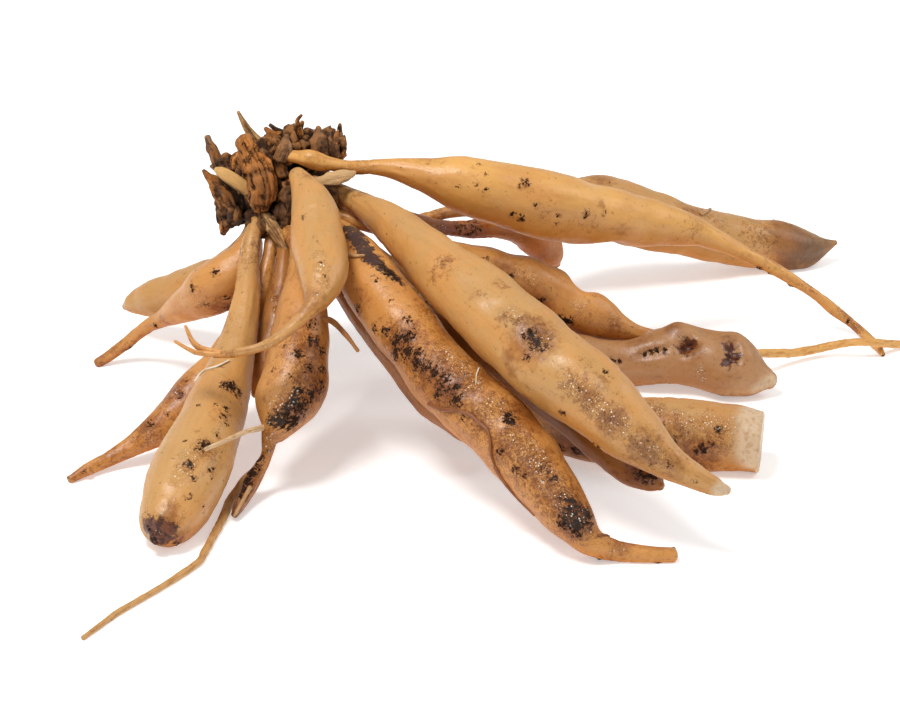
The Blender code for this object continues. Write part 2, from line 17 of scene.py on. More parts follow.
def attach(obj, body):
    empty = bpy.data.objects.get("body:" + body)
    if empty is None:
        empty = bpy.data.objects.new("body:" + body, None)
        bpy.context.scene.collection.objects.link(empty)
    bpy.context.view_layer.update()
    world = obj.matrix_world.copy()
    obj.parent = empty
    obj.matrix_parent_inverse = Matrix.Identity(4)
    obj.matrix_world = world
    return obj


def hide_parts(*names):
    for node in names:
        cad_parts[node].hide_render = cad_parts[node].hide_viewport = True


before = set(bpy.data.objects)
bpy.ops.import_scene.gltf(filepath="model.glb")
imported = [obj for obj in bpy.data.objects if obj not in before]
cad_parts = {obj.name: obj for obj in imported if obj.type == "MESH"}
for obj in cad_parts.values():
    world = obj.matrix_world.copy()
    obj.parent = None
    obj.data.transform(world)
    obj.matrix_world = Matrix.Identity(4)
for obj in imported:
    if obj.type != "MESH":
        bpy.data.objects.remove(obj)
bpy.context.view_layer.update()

MM = 0.001
CROWN_AT = (-57.45, 27.9, 0.0)

# The camera looks down at the cluster from the front.
CAMERA_TILT = 25.0
CAMERA_TARGET = (42.5, -12.5, 10.0)
CAMERA_DISTANCE = 650.0
CAMERA_LENS = 110.0
CAMERA_SENSOR = 36.0
CAMERA_NEAREST_M = 0.01

# The picture's frame, in pixels.
PICTURE_WIDTH = 900
PICTURE_HEIGHT = 711

# A softly lit white table; each lamp has a place, a target and a size in millimetres, and its power.
FLOOR_HALF_SIZE_M = 3.0
FLOOR_WHITE = (0.9, 0.9, 0.9, 1.0)
FLOOR_ROUGHNESS = 0.7
FLOOR_GLOW = 0.38
PURE_WHITE = (1.0, 1.0, 1.0, 1.0)
SKY_LIGHT = 0.52
LAMPS = [
    ("key", (-120, -150, 520), (30, -20, 0), 190, 2.3),
    ("side", (420, 60, 300), (40, -20, 20), 200, 0.4),
]

# How finely the roots are made.
RING_STEP = 0.65
PATH_STEP = 2.5
FACE_SIZE = 0.6
FEWEST_SIDES = 36
MOST_SIDES = 96
ROOTLET_SIDES = 14
THREAD_SIDES = 8
THREAD_STEP = 0.5
SPAN_SAMPLES = 16

# The form of a root: the room that it leaves its neighbours, its lumps and how its end closes.
GAP = 0.35
NEIGHBOUR_REACH = 6.0
LUMP_SIZE = 11.0
SEED_SHIFT = 7.3
CAP_RINGS = 5
TIP_LENGTH = 0.7
CUT_BULGE = 0.3

# Relief of the skin: sizes and heights in millimetres.
CREASE_SIZE = (1.1, 4.0, 4.0)
CREASE_DEPTH = 0.13
RIDGE_SIZE = (9.0, 0.9, 0.9)
RIDGE_HEIGHT = 0.04
THIN_RIDGE_HEIGHT = 0.035
WAVE_HEIGHT = 0.22
RIPPLE_HEIGHT = 0.07
CLUMP_HEIGHT = 0.5
GRIT_HEIGHT = 0.10
TEAR_DEPTH = 0.35
ROOTLET_ROUGHNESS = 0.12

# Skins and flesh.
CREAM = (0.505, 0.270, 0.088)
GOLD = (0.67, 0.345, 0.090)
HONEY = (0.58, 0.265, 0.068)
TAN = (0.50, 0.205, 0.047)
AMBER = (0.40, 0.160, 0.038)
RUSSET = (0.46, 0.155, 0.012)
UMBER = (0.30, 0.112, 0.018)
DUN = (0.42, 0.215, 0.090)
DRAB = (0.34, 0.155, 0.052)
FLESH = (0.60, 0.43, 0.27)
FLESH_SHADE = (0.47, 0.29, 0.15)
WHITE = (0.75, 0.66, 0.52)
PAINTED_GLINT = (0.95, 0.86, 0.68)

# Bark, old sheaths and what clings to the skin.
BARK = (0.085, 0.038, 0.018)
RUST = (0.47, 0.180, 0.042)
STRAW = (0.50, 0.29, 0.12)
STRAW_PALE = (0.62, 0.43, 0.25)
BUD = (0.74, 0.43, 0.155)
PEEL = (0.64, 0.40, 0.19)
GREY_STRAW = (0.30, 0.18, 0.10)
PATCH_RUST = (0.36, 0.135, 0.034)
PATCH_GREY = (0.080, 0.048, 0.036)
WORN = (0.42, 0.19, 0.07)
FIBRE = (0.24, 0.075, 0.02)
# Soil black; the crown's bark also uses it for painted shade in its crevices.
SOIL_AND_PAINTED_SHADE = (0.018, 0.009, 0.005)
MUD = (0.085, 0.036, 0.013)
SPECK = (0.22, 0.075, 0.014)
SMOKE = (0.105, 0.056, 0.034)
TORN = (0.155, 0.042, 0.012)
TORN_DARK = (0.045, 0.011, 0.006)
SLATE = (0.030, 0.019, 0.021)
SLATE_FLECK = (0.115, 0.060, 0.042)

# What a colour is multiplied by: in stains, in fine dots, in streaks, as painted shade under a root and so
# on.
STAIN_SHADE = (0.50, 0.335, 0.17)
DOT_SHADE = (0.50, 0.34, 0.20)
STREAK_SHADE = (0.55, 0.42, 0.32)
UNDERSIDE_PAINTED_SHADE = (0.84, 0.60, 0.34)
BLOOM = (1.12, 1.14, 1.25)
# Lighter skin in pale places, partly painted highlight.
PALEST_AND_PAINTED_HIGHLIGHT = (1.15, 1.22, 1.35)
THREAD_SHADE = (0.72, 0.60, 0.46)
BARK_STREAK = (0.42, 0.34, 0.28)
BARK_LIGHT = (1.45, 1.45, 1.45)
BARK_RIDGE = (1.25, 1.2, 1.15)

# Each root: the two colours of its skin, how dirty and lumpy it is, bumps (x, y, z, reach, height) and
# its path, as stations (x, y, z, radius) in millimetres. Most stations were worked out by a program
# outside this script, from pixels read off the picture and a depth chosen for each, and then thinned,
# rounded and partly changed. So this table isn't derived from a few driving dimensions.
ROOTS = {
    "root_main": dict(
        skin=(CREAM, HONEY), dirt=0.25, lumps=0.05, seed=1,
        path=[(12, 2, 48, 1.8), (19.5, -5, 47, 2.4), (26.5, -14, 46, 4.1), (34.5, -25.5, 43.5, 5.7),
            (43.5, -40.5, 41.5, 7.4), (53.5, -54.5, 38, 8.6), (63, -66.5, 34, 9), (72.5, -75.5, 30, 8.6),
            (80.5, -83.5, 25.5, 6.6), (86.5, -88, 22, 4.4), (93, -91, 19, 2.8), (98, -92.5, 17, 1.8),
            (100.5, -92, 16, 1)]),
    "root_upper": dict(
        skin=(GOLD, HONEY), dirt=0.2, lumps=0.05, seed=2,
        bumps=[(80.5, 8, 29, 3.5, -1.8), (66, -3, 47, 7, 0.4)],
        path=[(5, -3.5, 57, 1.3), (7.5, -4.5, 57, 1.6), (10, -5.5, 57, 2.2), (12.5, -5.5, 56.2, 2),
            (15, -5, 55.5, 1.5), (19.5, -3, 54, 1.5), (27.5, -2, 53.5, 2.1), (35.5, -2.5, 52, 3.9),
            (44, -2.5, 50, 6.1), (50, -2, 48.2, 7.2), (57, 0, 45.5, 7.6), (65, 3, 42, 7.8),
            (74.5, 8, 38, 7.4), (80.5, 10.5, 36, 7), (88.5, 15, 33, 5.8), (101, 20.5, 28.5, 3.8),
            (107.5, 22, 25.2, 2.6), (116, 22, 21, 1.7), (123.5, 23, 16.5, 1.5), (132.5, 22.5, 10.7, 1.3),
            (138, 22.3, 6.2, 1.45), (142.5, 21, 3, 1.15), (144.5, 19, 1.8, 1.15), (146, 16.5, 1.15, 1.15),
            (147.6, 11.5, 1.05, 1.05), (148.3, 8, 0.8, 0.6)]),
    "root_back": dict(
        skin=(CREAM, HONEY), dirt=0.4, lumps=0.06, seed=3, bumps=[(95, 50, 26, 7, 0.5)],
        path=[(12, 4, 42, 1.5), (17.5, 6, 40, 1.7), (26, 8, 37.7, 1.7), (33, 9, 35.5, 1.6),
            (37, 11, 35.5, 1.5), (42, 15, 35.3, 1.6), (50, 23, 33.2, 2.2), (60, 36, 28.3, 4),
            (70, 44, 24.5, 6.3), (78, 48, 23.2, 7.9), (86, 51, 21, 7.7), (101.5, 55, 14.8, 6.9),
            (118, 62, 8.2, 6.5), (129, 64.5, 5.9, 6.2), (135, 65.5, 5, 5.3), (138.5, 66, 4.9, 3.9),
            (141.5, 66.5, 5.2, 1.9), (144, 67, 5.8, 0.6)]),
    "root_hanging": dict(
        skin=(CREAM, HONEY), rootlet_skins=(HONEY, HONEY), dirt=0.1, lumps=0.04, seed=4,
        path=[(6.5, -1, 51.5, 1.4), (7, -8, 53.5, 1.5), (7.6, -12.5, 55.4, 2), (9.2, -16, 54.2, 3.2),
            (10.8, -19.5, 52.3, 4.5), (11.9, -23.5, 49.8, 5.5), (13, -31, 46.5, 6.1), (14.3, -42, 44, 5.6),
            (13.6, -50.3, 42, 3.3), (11.6, -55.3, 40.5, 1.7), (7.6, -59.5, 38, 1.3), (2.8, -62.9, 36, 1),
            (-3.8, -62.7, 34, 0.9), (-8.5, -60.8, 32.8, 0.8)],
        rootlets=[[(-6, -61.8, 33.4, 0.7), (-11.3, -59.5, 33.5, 0.7), (-13.5, -58.4, 34.8, 0.6),
            (-15.1, -56.3, 37.5, 0.35)], [(-6, -61.9, 33.3, 0.7), (-11.8, -60.6, 33, 0.6),
            (-14.2, -60, 33.6, 0.5), (-17.3, -58.8, 35, 0.35)]]),
    "root_stub": dict(
        skin=(RUSSET, UMBER), dirt=0.3, lumps=0.05, seed=5,
        path=[(14, 2, 46, 1.6), (26, 1, 42, 1.7), (34, 2, 38.5, 1.8), (40, 7, 34.8, 1.9),
            (47, 14, 31.4, 2.1), (53.5, 19, 30.2, 2.9), (58.5, 24, 28.2, 4.2), (62.7, 28, 24.7, 4.9),
            (66, 31, 20, 4.4), (68.2, 32.5, 16.2, 3), (69.3, 33, 14, 1)]),
    "root_front": dict(
        skin=(HONEY, TAN), dirt=0.5, lumps=0.05, seed=6,
        bumps=[(52, -70, 25, 6, 0.5), (44, -64, 26, 4, -0.6)],
        path=[(11.5, -9.5, 44, 1.9), (17.5, -15, 43.2, 2.3), (20, -20, 41.8, 3.7), (22.5, -25, 39.3, 5.6),
            (26, -32.5, 35.5, 6.9), (33.5, -44.5, 30, 7.4), (42.5, -59, 24.5, 7.4), (54, -72, 19, 7.4),
            (62, -81, 13, 6.8), (68, -89.5, 8.3, 5), (72, -93, 4.6, 3.2), (77, -93, 2.3, 2.4),
            (83, -93.5, 1.6, 1.9), (89.5, -93.5, 1.3, 1.6)]),
    "root_wavy": dict(
        skin=(HONEY, AMBER), dirt=0.3, lumps=0.08, seed=7,
        bumps=[(52, -2, 34, 4, 0.6), (62, 2, 30, 4, 0.9), (69, 1.5, 25, 3, 0.9),
            (73.5, 1, 21.5, 2.4, -2.6), (79, 0.5, 18, 4, 0.8)],
        path=[(13, -3, 43.5, 1.6), (21, -6.5, 41.5, 1.6), (31, -6.5, 38.5, 1.9), (41, -6, 34.5, 2.6),
            (50.5, -5, 30, 3.7), (60.5, -1.5, 25, 4.9), (69, -0.5, 19, 5.8), (78.5, -1.5, 14, 4.6),
            (86, -1.5, 11, 2.4), (92.5, 0.3, 9.6, 1)]),
    "root_split": dict(
        skin=(DUN, DRAB), rootlet_skins=(GOLD,), dirt=0.3, lumps=0.1, seed=8,
        bumps=[(95, -14, 4, 4, 0.6), (107, -17, 4, 5, 1.2), (104, -9, 15, 2.6, -1.6), (97, -7, 15, 3.5, 1),
            (110, -9, 13, 3, 0.9), (116, -16, 7, 3, -0.8)],
        path=[(11, -6, 39, 1.6), (20, -8.5, 36.5, 1.7), (29, -10, 31, 1.9), (39, -9.5, 25, 2.4),
            (52, -9, 17, 3.4), (66, -9.5, 10.5, 4.6), (80.5, -8.5, 6, 5.4), (88, -8, 6.2, 5.6),
            (94, -7.4, 7.6, 6.4), (101, -8, 8, 7.2), (109, -11, 6.8, 6.9), (114, -12.5, 5.2, 5.2),
            (118.5, -13.5, 4, 2.2)],
        rootlets=[[(110, -6, 7, 1.1), (117.5, -1.5, 5.5, 1.1), (125.5, 4, 3, 1.1), (133, 8, 2.4, 1.1),
            (138, 8, 3.6, 1), (143, 7.5, 4.3, 1), (146.5, 8, 3.9, 1), (150.5, 11, 2.2, 1.05),
            (154.5, 13.3, 1.1, 1), (158, 14.5, 1, 0.9)]]),
    "root_cut": dict(
        skin=(CREAM, TAN), dirt=0.35, lumps=0.04, seed=9, flat_end=True,
        path=[(14, -6.5, 42, 1.6), (20, -12, 40, 1.7), (26, -15, 36, 2.3), (32, -18.5, 31, 3.4),
            (41, -25, 23, 5.2), (52, -32, 14.5, 6.8), (63, -39, 8.6, 7.6), (74, -45, 7.2, 7.7),
            (86, -47.5, 7.3, 7.9), (98.5, -49, 7.2, 7.8), (112, -51.5, 6.8, 7.2)]),
    "root_blunt": dict(
        skin=(UMBER, UMBER), dirt=0.3, lumps=0.05, seed=10,
        path=[(12, -12, 40, 1.6), (19.5, -17, 37, 1.7), (28.5, -23, 32.5, 2), (40.5, -35.5, 28.5, 2.7),
            (53.5, -49, 25.5, 3.6), (66.5, -61.5, 20.5, 4.4), (75, -70, 17, 4.9), (81.5, -76, 14, 4.6),
            (86, -80, 12, 2.6), (87.5, -81.5, 11.4, 1)]),
    "root_under": dict(
        skin=(AMBER, UMBER), dirt=0.3, lumps=0.05, seed=11,
        path=[(9, -12, 37, 1.6), (15.5, -18, 32, 2.1), (24.5, -28, 25.5, 3.6), (33, -37, 19.5, 5),
            (41, -44.5, 14, 5.8), (48, -48.5, 9.5, 4.6), (53, -51, 6, 2.2)]),
    "root_big_left": dict(
        skin=(CREAM, HONEY), dirt=0.3, lumps=0.04, seed=12,
        path=[(-2, -6, 43, 1.7), (-3.5, -12, 40, 1.9), (-4, -18.5, 35.5, 2.4), (-4, -26, 31, 3.1),
            (-5.5, -37, 24.5, 4.2), (-9, -50.5, 16.5, 6.7), (-13.8, -71.5, 9.5, 8.5),
            (-16.6, -82.5, 6.4, 7.4), (-18.4, -89, 5, 5), (-19.3, -91.5, 4.4, 2)]),
    "root_muddy": dict(
        skin=(HONEY, AMBER), rootlet_skins=(CREAM, STRAW_PALE, AMBER), dirt=0.8, lumps=0.06, seed=13,
        bumps=[(14, -52, 22, 5, 0.8)],
        path=[(5, -12, 41.5, 1.7), (8, -20, 40, 2.4), (9.5, -31.5, 35, 4.6), (9, -42, 28.5, 6.6),
            (7.4, -51, 22.5, 7.3), (6, -57, 18.5, 6.6), (4.4, -61, 15, 3.7), (3, -62, 12.7, 2),
            (2.4, -63, 10, 1.35), (1.3, -64, 7.6, 1.5), (-0.5, -66, 5.3, 1.85), (-2, -69, 3.2, 1.6),
            (-3.5, -73, 2, 1.3), (-4.2, -75.5, 1.3, 0.8)],
        rootlets=[[(0, -64.8, 6.4, 1), (-2.4, -64.5, 4.2, 1.1), (-4.1, -66, 2.2, 1.1),
            (-5.7, -69.5, 1.2, 1.1), (-7, -78, 0.9, 0.95), (-9.4, -91, 0.8, 0.85),
            (-10.4, -95.5, 0.8, 0.8), (-13.5, -100.5, 0.7, 0.8), (-18, -107, 0.7, 0.7),
            (-25, -116, 0.6, 0.7), (-28, -121, 0.6, 0.6), (-31, -126, 0.5, 0.5)], [(4, -59.5, 15, 0.8),
            (-1.5, -66.5, 17, 0.6), (-5.7, -74, 18.5, 0.5), (-9.7, -78.3, 18.6, 0.4)],
            [(11, -41.5, 31.5, 0.8), (15.5, -43, 33, 0.7), (19.2, -47.4, 31.6, 0.6),
            (22.1, -48.7, 28, 0.4)]]),
    "root_tailed": dict(
        skin=(HONEY, TAN), dirt=0.3, lumps=0.05, seed=14,
        path=[(-3.5, -5, 39, 1.8), (-5.5, -8.5, 33.5, 4.4), (-9.5, -10.5, 29.3, 6), (-14, -9.5, 25.2, 6.1),
            (-18, -7, 21.7, 4.8), (-22, -3.5, 18, 3.5), (-26, 0.5, 14, 2.2), (-30.5, 3, 10.5, 1.6),
            (-35, 4.5, 6.2, 1.5), (-39.5, 4, 2.8, 1.4), (-43, 3, 0.8, 1.2)]),
    "root_round": dict(
        skin=(CREAM, HONEY), dirt=0.25, lumps=0.05, seed=15,
        path=[(-3, 2, 40, 1.7), (-6.5, 4, 32, 2), (-13, 8, 22.3, 4.3), (-18.5, 12, 17.8, 5.1),
            (-23.5, 15, 14.2, 5.3), (-29, 18, 11.7, 5), (-33, 20, 9.7, 4), (-36, 21, 8.5, 2.7),
            (-38, 22, 7.3, 1)]),
    "root_low": dict(
        skin=(HONEY, RUSSET), dirt=0.35, lumps=0.05, seed=16,
        path=[(1, -8, 39, 1.6), (0, -14, 33, 1.9), (-2.5, -21, 25.5, 2.9), (-8, -30, 18.5, 4.4),
            (-15.5, -38.5, 12.5, 5), (-22, -45, 8, 4.2), (-28.5, -48.5, 4.6, 2.5), (-34, -51.5, 2.6, 1.8),
            (-38.5, -55, 1.8, 1.5), (-42, -58, 0.8, 0.9)]),
    "root_inner": dict(
        skin=(AMBER, UMBER), dirt=0.3, lumps=0.05, seed=17,
        path=[(4, -11, 38.5, 1.6), (4, -18, 33.5, 2.3), (3, -25, 27, 3.3), (1.6, -31, 21, 3.6),
            (-0.3, -36.5, 16, 2.7), (-1.6, -40, 13, 1.1)]),
}

PALE_ROOTS = ("root_main", "root_upper", "root_hanging", "root_front", "root_cut", "root_big_left")

# Lumps of the woody crown: (x, y, z), then its half-sizes.
CROWN_LUMPS = [
    ((-1.5, 1.5, 48), (8.5, 8, 9.5)),
    ((2.5, 6.5, 50), (8.5, 6.5, 8.5)),
    ((9, -2.5, 45.5), (8.5, 7.5, 7.5)),
    ((1, -5, 41.5), (7, 6, 4.5)),
    ((12.2, 3, 58), (5.6, 5, 3)),
    ((15.6, 2, 57), (2.9, 3, 3)),
    ((6.5, 1.5, 58), (4, 4.2, 3.6)),
    ((3.3, 0, 57.2), (3.6, 4, 4.2)),
    ((-8.6, 0, 43.8), (4.2, 5.5, 6.2)),
]
LUMP_FINENESS = 5
CROWN_ROUGH = 1.3
CROWN_ROUGH_SIZE = 5.0
KNOB_SIZE = 2.8
SMALL_KNOB_SIZE = 1.2
SMALL_KNOB_HEIGHT = 0.4
GROOVE_DEPTH = 1.1
GROOVE_SIZE = 1.5
GROOVE_STRETCH = (1.0, 1.0, 4.0)
FIBRE_HEIGHT = 0.3
FIBRE_SIZE = 0.7
FIBRE_STRETCH = (1.0, 1.0, 3.0)

# How often the crown is smoothed to find its deep hollows and its fine edges.
HOLLOW_ROUNDS = 110
EDGE_ROUNDS = 6

# Old sheaths, buds and stubs: stations (x, y, z, half-width), how flat, the side it faces, its colour.
# Most of these stations were worked out by the same program as those of the roots.
CROWN_SCALES = [
    ([(-1.8, -6.5, 43.2, 0.8), (-1.6, -7.2, 45.4, 2.1), (-1.5, -7.6, 47.8, 3.2), (-1.3, -7.4, 51, 3.6),
        (-2, -6.6, 54.1, 3.4), (-3.2, -5.8, 56.8, 2.8), (-4.1, -5.2, 59, 2.5), (-5, -4.8, 61.2, 2.2)],
        0.7, (0, -1, 0), RUST),
    ([(4.8, -2, 54.6, 1.9), (3.7, -2.2, 57.4, 2.1), (2.1, -1.6, 59.9, 1.7), (0.7, -1, 61.6, 1),
        (-0.4, -0.6, 62.6, 0.5)], 0.75, (0, -1, 0), RUST),
    ([(5.2, 0, 58.8, 1.6), (3.6, 0.5, 60.7, 1), (1.9, 1, 61.8, 0.6), (0.6, 1, 62.9, 0.4)], 0.7, (0, -1, 0),
        BARK),
    ([(-9.4, 0, 48.5, 1.8), (-10.9, 0, 51.6, 1.6), (-12, 0, 54.1, 1.5), (-12.9, 0.3, 56.9, 1.3),
        (-13.7, 0.6, 58.9, 1), (-14.1, 0.8, 60, 0.7)], 0.5, (0, -1, 0), GREY_STRAW),
    ([(-6, 0.5, 49, 2.8), (-8.4, 0.5, 52.8, 2.4), (-10.2, 0.6, 55.2, 1.2)], 0.7, (0, -1, 0), BARK),
    ([(-0.5, 1.5, 56.5, 1.3), (-2.6, 2, 58.4, 1.3), (-4.3, 2.4, 60.6, 1), (-5.9, 2.8, 63.2, 0.7),
        (-6.9, 3, 65.4, 0.35)], 0.6, (0, -1, 0), STRAW),
    ([(-2.2, 0, 59.3, 1), (0.2, -1.5, 57.6, 1.3), (2.5, -2.8, 55.3, 1.4), (3.6, -4, 52.5, 1.3)],
        0.7, (0, -1, 0), BARK),
    ([(7.6, 1, 59.8, 1), (7.3, 1, 62.3, 0.7), (7, 1, 64, 0.5), (8, 1, 65.3, 0.35)], 0.9, (0, -1, 0), RUST),
    ([(-4.4, -6.8, 49.6, 1.5), (-6.6, -7.8, 51.9, 1.65), (-9, -8.2, 53.8, 1.55), (-10.7, -8.2, 54.9, 1.2),
        (-11.5, -8.2, 55.4, 0.6)], 0.95, (0, -1, 0), BUD),
    ([(-8.6, -2, 44.1, 3.2), (-10.4, -2.6, 46.8, 2.4), (-12.5, -2.6, 49.8, 1.5), (-14, -2.4, 51.6, 0.8),
        (-15, -2.2, 52.8, 0.4)], 0.6, (0.6, -1, 0), RUST),
    ([(-7, -1.5, 39.5, 2.1), (-8.6, -3.2, 43.8, 2.2), (-9.8, -3.8, 47, 1.5), (-11.6, -3.6, 49.7, 0.7)],
        0.7, (0, -1, 0), BARK),
    ([(-8.8, -1, 41.4, 1.9), (-10, -1.5, 39.6, 1.6), (-10.7, -1.8, 37.9, 1.2), (-11, -1.8, 36.8, 0.7)],
        0.85, (0, -1, 0), RUST),
    ([(9.5, -5.5, 51.5, 1.2), (12.3, -8, 52.4, 1.2), (15.5, -8.2, 53.2, 1.6), (18.4, -7, 53.5, 1.5),
        (20.2, -5.8, 53.6, 0.7)], 0.35, (0, -1, 0.6), PEEL),
    ([(11.7, 1.5, 57.5, 1.3), (10.5, 1.5, 59.7, 1), (9.6, 1.6, 61.2, 0.5)], 0.8, (0, -1, 0), BARK),
    ([(15.1, 2, 56.3, 1.3), (16.1, 2, 58.5, 1.1), (15.9, 2.4, 60.4, 0.7)], 0.8, (0, -1, 0), BARK),
    ([(16.3, 0, 55.1, 1.3), (17.5, 0, 56.3, 0.9), (18.1, 0.5, 57.4, 0.5)], 0.8, (0, -1, 0), RUST),
    ([(-1.5, -7.5, 44.5, 1.2), (0.5, -10, 42.8, 1.6), (2.8, -12.5, 40.4, 1.7), (4.5, -13.8, 38.4, 1.3),
        (6, -14, 37, 0.8)], 0.5, (0, -1, 0.5), STRAW),
    ([(-2.2, -7.5, 42.4, 0.9), (0.1, -9, 40.4, 1.1), (2.9, -10, 38.8, 1.1), (5.5, -11, 37.4, 0.7)],
        0.5, (0, -1, 0.5), RUST),
    ([(3.6, -5.5, 45.9, 1.5), (3.4, -7.5, 44.3, 2.1), (3.1, -8, 42.3, 1.3)], 0.9, (0, -1, 0), BARK),
]
SCALE_SIDES = 40
SCALE_STEP = 0.35
SCALE_RIDGE = (5.0, 0.55, 0.55)
SCALE_FINE_RIDGE = (2.5, 0.3, 0.3)
SCALE_TEAR = (1.6, 1.2, 1.2)
SCALE_THINNEST = 0.45
SCALE_CURL = 0.35
ROUND_SCALE = 0.88
SCALE_SEED = 20
BACK_SCALE_SEED = 50
FLAKE_SCALE_SEED = 80

BACK_SHEATHS = 7
BACK_TURN = (-10.0, 175.0)
BACK_SWAY = 0.12
BACK_MIDDLE = (3.0, 3.0, 49.0)
BACK_REACH = (6.5, 5.8)
BACK_RISE = (-5.0, 4.0)
BACK_LEAN = (0.5, 1.3)
BACK_LENGTH = (7.0, 12.0)
BACK_BULGE = 0.8
BACK_TIP_RISE = 1.2
BACK_WIDTH = 3.3
BACK_FLATNESS = 0.45
BACK_SEED = 5

# Short worn sheaths that lie on the crown, pointing up.
FLAKES = 26
FLAKE_SEED = 8
FLAKE_SIDES = 16
FLAKE_STEP = 0.5
FLAKE_FLATNESS = (0.35, 0.6)
FLAKE_LENGTH = (4.0, 8.0)
FLAKE_WIDTH = (1.0, 2.2)
FLAKE_LOWEST = 42.0
FLAKE_COLOURS = (BARK, RUST, RUST, BARK, GREY_STRAW)
